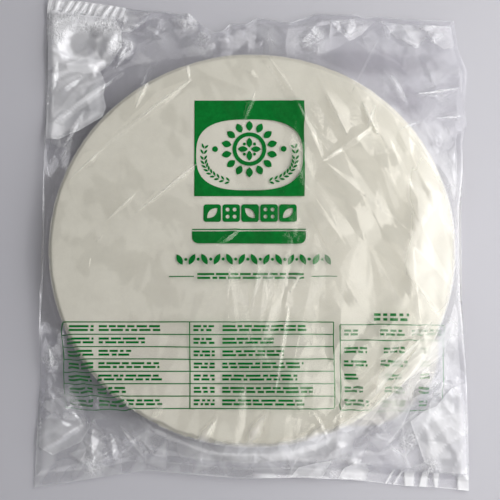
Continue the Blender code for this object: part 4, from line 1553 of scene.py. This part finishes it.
def sprig(cx, cy, across, up):
    """Small leaves in pairs, up an oval's right side, or its left side where across is below 0."""
    turns = np.radians(np.linspace(-70.0, 16.0, 12))
    x = cx + across * np.cos(turns) ** 0.8
    y = cy + up * np.sign(turns) * np.abs(np.sin(turns)) ** 0.8
    ahead = np.arctan2(np.diff(y), np.diff(x))
    return [[petal_loop(x[i], y[i], ahead[i] + lean, 0.3, 3.5, 1.25)]
            for i in range(len(ahead)) for lean in (0.6, -0.6)]


# ---------------------------------------------------------------- operators


class WAFER_OT_sheets(Operator):
    """Lay the stack of sheets: the uppermost, the lowest and the rims between them"""

    bl_idname = "wafer_bag.sheets"
    bl_label = "Stack of Sheets"

    def execute(self, context):
        bag = context.scene.wafer_bag
        shape = current_shape(bag)
        material = shared_material(wafer_material, "stack")
        random = np.random.default_rng(5)
        levels = sheet_levels(shape, bag.stack.sheets)
        points, faces, maps = sheet_rims(shape, bag.stack, random)
        rims = add_piece("sheet_rims", points, faces, material, maps)
        whole = whole_sheet(
            shape, bag.stack, random, levels[-1], rings=60, around=240, facing_up=True)
        top = add_piece("top_sheet", *whole, material)
        whole = whole_sheet(
            shape, bag.stack, random, levels[0], rings=24, around=200, facing_up=False)
        bottom = add_piece("bottom_sheet", *whole, material)
        for piece in (rims, top, bottom):
            stand_for_bag(piece)
        return {"FINISHED"}


class WAFER_OT_upper_film(Operator):
    """Draw the upper film over the stack, with its folds, crumples and end welds"""

    bl_idname = "wafer_bag.upper_film"
    bl_label = "Upper Film"

    def execute(self, context):
        bag = context.scene.wafer_bag
        shape = current_shape(bag)
        material = shared_material(film_material, "film")
        finish = {"haze": shape.haze, "milk": shape.milk, "crinkle": shape.crinkle,
                  "cling": shape.cling, "painted_cream_bounce": shape.painted_cream_bounce, "bent": shape.bent}
        for name, low, high in (("upper_film_left", 0.0, 0.5), ("upper_film_right", 0.5, 1.0)):
            x, y = film_grid(*UPPER_GRID, low, high)
            film_sheet(name, shape.upper, finish, x, y, material)
        return {"FINISHED"}


class WAFER_OT_lower_film(Operator):
    """Draw the lower film under the stack"""

    bl_idname = "wafer_bag.lower_film"
    bl_label = "Lower Film"

    def execute(self, context):
        bag = context.scene.wafer_bag
        shape = current_shape(bag)
        material = shared_material(film_material, "film")
        finish = {"haze": 0.5 * shape.haze, "milk": 0.4 * shape.milk, "crinkle": shape.crinkle,
                  "cling": shape.cling}
        x, y = film_grid(*LOWER_GRID)
        film_sheet("lower_film", shape.under, finish, x, y, material)
        return {"FINISHED"}


class WAFER_OT_flaps(Operator):
    """Lay the folded-over corners of the film"""

    bl_idname = "wafer_bag.flaps"
    bl_label = "Folded Corners"

    def execute(self, context):
        bag = context.scene.wafer_bag
        shape = current_shape(bag)
        material = shared_material(film_material, "film")
        for flap in FLAPS:
            make_flap(flap, shape, material)
        return {"FINISHED"}


class WAFER_OT_emblem(Operator):
    """Print the green field with its pale oval, a rosette of leaves and a sprig on either side"""

    bl_idname = "wafer_bag.emblem"
    bl_label = "Green Field and Rosette"

    def execute(self, context):
        bag = context.scene.wafer_bag
        cx, cy = ROSETTE_MIDDLE
        window = oval_loop(*OVAL_MIDDLE, *OVAL_REACH, power=OVAL_FULLNESS)
        shapes = [[box_loop(*FIELD_BOX), window]]
        shapes.append([oval_loop(cx, cy, radius, radius) for radius in RING_RADII])
        for i in range(INNER_LEAVES):
            angle = 2.0 * math.pi * i / INNER_LEAVES
            shapes.append([petal_loop(cx, cy, angle, *INNER_LEAF)])
            between = angle + math.pi / INNER_LEAVES
            bead = (cx + BEAD_REACH * math.cos(between), cy + BEAD_REACH * math.sin(between))
            shapes.append([oval_loop(*bead, BEAD_RADIUS, BEAD_RADIUS, 20)])
        for i in range(OUTER_LEAVES):
            angle = 2.0 * math.pi * (i + 0.5) / OUTER_LEAVES
            shapes.append([petal_loop(cx, cy, angle, *OUTER_LEAF)])
        for side in (-1.0, 1.0):
            shapes.append([oval_loop(
                cx + side * SIDE_BEAD_REACH, cy, SIDE_BEAD_RADIUS, SIDE_BEAD_RADIUS, 24)])
            shapes += sprig(*OVAL_MIDDLE, side * SPRIG_REACH[0], SPRIG_REACH[1])
        print_piece("print_emblem", shapes, bag)
        return {"FINISHED"}


class WAFER_OT_title(Operator):
    """Print the row of five bold tiles, the bar, the row of leaves and the fine lines below"""

    bl_idname = "wafer_bag.title"
    bl_label = "Title Row and Bar"

    def execute(self, context):
        bag = context.scene.wafer_bag
        random = np.random.default_rng(17)
        line = bag.label.line / MM
        shapes = self.tokens(TOKENS_LEFT, TOKENS_RIGHT, TOKENS_MIDDLE, TOKEN_SIZE)
        shapes.append(bar(BAR_BOX[0], BAR_BOX[2], BAR_LINE_MIDDLE, 1.1 * line))
        shapes.append([box_loop(*BAR_BOX, low=BAR_ROUNDING)])
        shapes += leaf_row(LEAF_ROW_LEFT, LEAF_ROW_RIGHT, LEAF_ROW_MIDDLE, LEAF_ROW_HEIGHT)
        shapes += small_print(
            SUBTITLE_LEFT, SUBTITLE_RIGHT, SUBTITLE_MIDDLE, random, longest=11.0, height=4.0)
        shapes += [bar(x0, x1, SIDE_LINES_MIDDLE, line) for x0, x1 in SIDE_LINES]
        print_piece("print_title", shapes, bag)
        return {"FINISHED"}

    @staticmethod
    def tokens(x0, x1, middle, size):
        """Five bold rounded tiles with a leaf or four dots left open in each by turns."""
        shapes = []
        pitch = (x1 - x0 - size) / 4
        for i in range(5):
            cx = x0 + size / 2 + i * pitch
            half = size / 2
            tile = box_loop(cx - half, middle - half, cx + half, middle + half, 1.6, 1.6)
            if i % 2:
                figure = [oval_loop(cx + 2.1 * across, middle + 2.1 * up, 1.15, 1.15, 20)
                          for across in (-1, 1) for up in (-1, 1)]
            else:
                figure = [petal_loop(cx, middle, math.radians(45 + 45 * i), -4.2, 4.2, 4.2)]
            shapes.append([tile, *figure])
        return shapes


class WAFER_OT_tables(Operator):
    """Print the two ruled tables, their small print as plain strokes"""

    bl_idname = "wafer_bag.tables"
    bl_label = "Ruled Tables"

    def execute(self, context):
        bag = context.scene.wafer_bag
        random = np.random.default_rng(23)
        line = bag.label.line / MM
        print_piece("print_table_left", self.left_table(line, random), bag)
        print_piece("print_table_right", self.right_table(line, random), bag)
        return {"FINISHED"}

    @staticmethod
    def left_table(line, random):
        """Seven rows in two columns, each with a label and an entry."""
        x0, bottom, x1, top = LEFT_TABLE_BOX
        step = (top - bottom) / LEFT_TABLE_ROWS
        shapes = [bar(x0, x1, top - i * step, line) for i in range(LEFT_TABLE_ROWS + 1)]
        shapes += [upright(bottom, top, x, line) for x in (x0, LEFT_TABLE_DIVIDER, x1)]
        for i in range(LEFT_TABLE_ROWS):
            middle = top - (i + 0.5) * step
            for column in LEFT_TABLE_COLUMNS:
                start, end = (column.left + reach for reach in column.label)
                shapes += small_print(start, end, middle, random, column.label_word)
                start = column.left + column.entry
                end = start + random.uniform(*column.entry_length)
                shapes += small_print(start, end, middle, random, column.entry_word)
        return shapes

    @staticmethod
    def right_table(line, random):
        """A title, a row of heads, a rule under it and five rows in three columns."""
        x0, bottom, x1, top = RIGHT_TABLE_BOX
        rule = RIGHT_TABLE_RULE
        shapes = [bar(x0, x1, y, line) for y in (top, rule, bottom)]
        shapes += [upright(bottom, top, x, line) for x in (x0, x1)]
        shapes += small_print(*RIGHT_TABLE_TITLE, random, 6.0, height=5.0)
        for left, right in RIGHT_TABLE_HEADS:
            shapes += small_print(left, right, (top + rule) / 2, random, 7.0)
        step = (rule - bottom) / (RIGHT_TABLE_ROWS + 0.3)
        for i in range(RIGHT_TABLE_ROWS):
            middle = rule - (i + 0.75) * step
            end = RIGHT_TABLE_NAMES + random.uniform(7.0, 18.0)
            shapes += small_print(RIGHT_TABLE_NAMES, end, middle, random)
            half = random.uniform(4.0, 8.0)
            start, end = RIGHT_TABLE_AMOUNTS - half, RIGHT_TABLE_AMOUNTS + half
            shapes += small_print(start, end, middle, random)
            end = RIGHT_TABLE_SHARES + random.uniform(4.5, 8.5)
            shapes += small_print(RIGHT_TABLE_SHARES, end, middle, random)
        return shapes


# ---------------------------------------------------------------- stage


class Lamp(NamedTuple):
    """An oblong soft lamp: its place and sides in metres, and its share of the window's glow."""

    name: str
    place: tuple
    size: tuple
    share: float


LAMPS = [
    Lamp("window", (0.306, 0.03, 0.391), (0.85, 0.28), 1.0),
    Lamp("window_core", (0.293, 0.0, 0.374), (0.47, 0.045), 1.7),
    Lamp("window_head", (0.172, -0.025, 0.90), (0.47, 0.256), 1.25),
    Lamp("window_foot", (0.476, 0.03, 0.187), (0.80, 0.20), 1.0),
    Lamp("panel_behind", (-0.42, 0.52, 0.60), (0.80, 0.50), 0.42),
    Lamp("low_front", (0.0, -0.75, 0.38), (0.9, 0.25), 0.5),
    Lamp("panel_before", (-0.35, -0.45, 0.55), (0.30, 0.14), 0.3),
]
LAMP_COLOUR = (1.0, 0.99, 0.975)
ROOM_COLOUR = (0.94, 0.95, 1.0)
# The point of the plan in the middle of the picture, in millimetres
PICTURE_MIDDLE = (-2.1, -4.9, 0.0)
# The width of the table that the picture takes in at the camera's default distance, in metres
PICTURE_WIDTH = 0.3008
# The width of the camera's sensor, and half the table's width, in millimetres
SENSOR_WIDTH, TABLE_REACH = 36.0, 3000.0


class WAFER_OT_stage(Operator):
    """Set the table, the lights, the sky and the camera"""

    bl_idname = "wafer_bag.stage"
    bl_label = "Table, Lights and Camera"

    def execute(self, context):
        scene = context.scene
        stage = scene.wafer_bag.stage
        self.lay_table()
        aim = Vector(PICTURE_MIDDLE) * MM
        for lamp in LAMPS:
            self.add_lamp(lamp, lamp.share * stage.window, aim)
        self.add_camera(scene, stage, aim)
        world = bpy.data.worlds.new("room")
        world.use_nodes = True
        self.shade_room(world.node_tree, stage)
        scene.world = world
        scene.view_settings.view_transform = "Standard"
        return {"FINISHED"}

    @staticmethod
    def lay_table():
        corners = [(x * TABLE_REACH, y * TABLE_REACH, 0.0)
                   for x, y in ((-1, -1), (1, -1), (1, 1), (-1, 1))]
        table = add_piece(
            "table", corners, [(0, 1, 2, 3)], shared_material(table_material, "stage"))

    @staticmethod
    def add_lamp(lamp, radiance, aim):
        """A lamp that faces the bag, its first side level and across its direction."""
        data = bpy.data.lights.new(lamp.name, "AREA")
        data.shape = "RECTANGLE"
        data.size, data.size_y = lamp.size
        data.energy = radiance * math.pi * data.size * data.size_y
        data.color = LAMP_COLOUR
        light = bpy.data.objects.new(lamp.name, data)
        light.visible_camera = False
        light.location = lamp.place
        toward = (Vector(lamp.place) - aim).normalized()
        across = Vector((0.0, 0.0, 1.0)).cross(toward).normalized()
        turn = Matrix((across, toward.cross(across), toward)).transposed()
        light.rotation_euler = turn.to_euler()
        bpy.context.scene.collection.objects.link(light)

    @staticmethod
    def shade_room(tree, stage):
        """A room that is dim overhead, where the camera hangs, and bright on the window's side."""
        place = tree.nodes.new("ShaderNodeTexCoord").outputs["Generated"]
        split = tree.nodes.new("ShaderNodeSeparateXYZ")
        tree.links.new(place, split.inputs[0])
        total = tree.nodes.new("ShaderNodeMath")
        for number, (axis, start, end, first, last) in enumerate((
                ("Z", 0.15, 0.9, 2.6 * stage.sky, 0.3 * stage.sky),
                ("X", 0.0, 0.6, 0.0, stage.side))):
            shade = tree.nodes.new("ShaderNodeMapRange")
            values = {"From Min": start, "From Max": end, "To Min": first, "To Max": last}
            for name, value in values.items():
                shade.inputs[name].default_value = value
            tree.links.new(split.outputs[axis], shade.inputs["Value"])
            tree.links.new(shade.outputs["Result"], total.inputs[number])
        background = tree.nodes["Background"]
        background.inputs["Color"].default_value = opaque(ROOM_COLOUR)
        tree.links.new(total.outputs[0], background.inputs["Strength"])

    @staticmethod
    def add_camera(scene, stage, aim):
        data = bpy.data.cameras.new("camera")
        data.sensor_width = SENSOR_WIDTH
        data.lens = SENSOR_WIDTH * stage.distance / PICTURE_WIDTH
        camera = bpy.data.objects.new("camera", data)
        toward = Vector((0.0, -math.cos(stage.elevation), math.sin(stage.elevation)))
        camera.location = aim + toward * stage.distance
        camera.rotation_euler = (math.pi / 2 - stage.elevation, 0.0, 0.0)
        scene.collection.objects.link(camera)
        scene.camera = camera


class WAFER_PT_panel(Panel):
    """The bag's pieces and settings"""

    bl_label = "Wafer Bag"
    bl_idname = "WAFER_PT_panel"
    bl_space_type = "VIEW_3D"
    bl_region_type = "UI"
    bl_category = "Wafer Bag"

    def draw(self, context):
        bag = context.scene.wafer_bag
        for group in (bag.stack, bag.film, bag.label, bag.stage):
            box = self.layout.box()
            for name in group.bl_rna.properties.keys():
                if name not in ("rna_type", "name"):
                    box.prop(group, name)
        for operator in OPERATORS:
            self.layout.operator(operator.bl_idname)


OPERATORS = (
    WAFER_OT_sheets, WAFER_OT_lower_film, WAFER_OT_upper_film, WAFER_OT_flaps, WAFER_OT_emblem,
    WAFER_OT_title, WAFER_OT_tables, WAFER_OT_stage,
)
CLASSES = (
    StackSettings, FilmSettings, PrintSettings, StageSettings, BagSettings,
    *OPERATORS, WAFER_PT_panel,
)


def register():
    for cls in CLASSES:
        bpy.utils.register_class(cls)
    bpy.types.Scene.wafer_bag = PointerProperty(type=BagSettings)


def unregister():
    del bpy.types.Scene.wafer_bag
    for cls in reversed(CLASSES):
        bpy.utils.unregister_class(cls)


def main():
    """Makes every piece."""
    register()
    bpy.ops.wafer_bag.sheets()
    bpy.ops.wafer_bag.lower_film()
    bpy.ops.wafer_bag.upper_film()
    bpy.ops.wafer_bag.flaps()
    bpy.ops.wafer_bag.emblem()
    bpy.ops.wafer_bag.title()
    bpy.ops.wafer_bag.tables()
    bpy.ops.wafer_bag.stage()


if __name__ == "__main__":
    main()
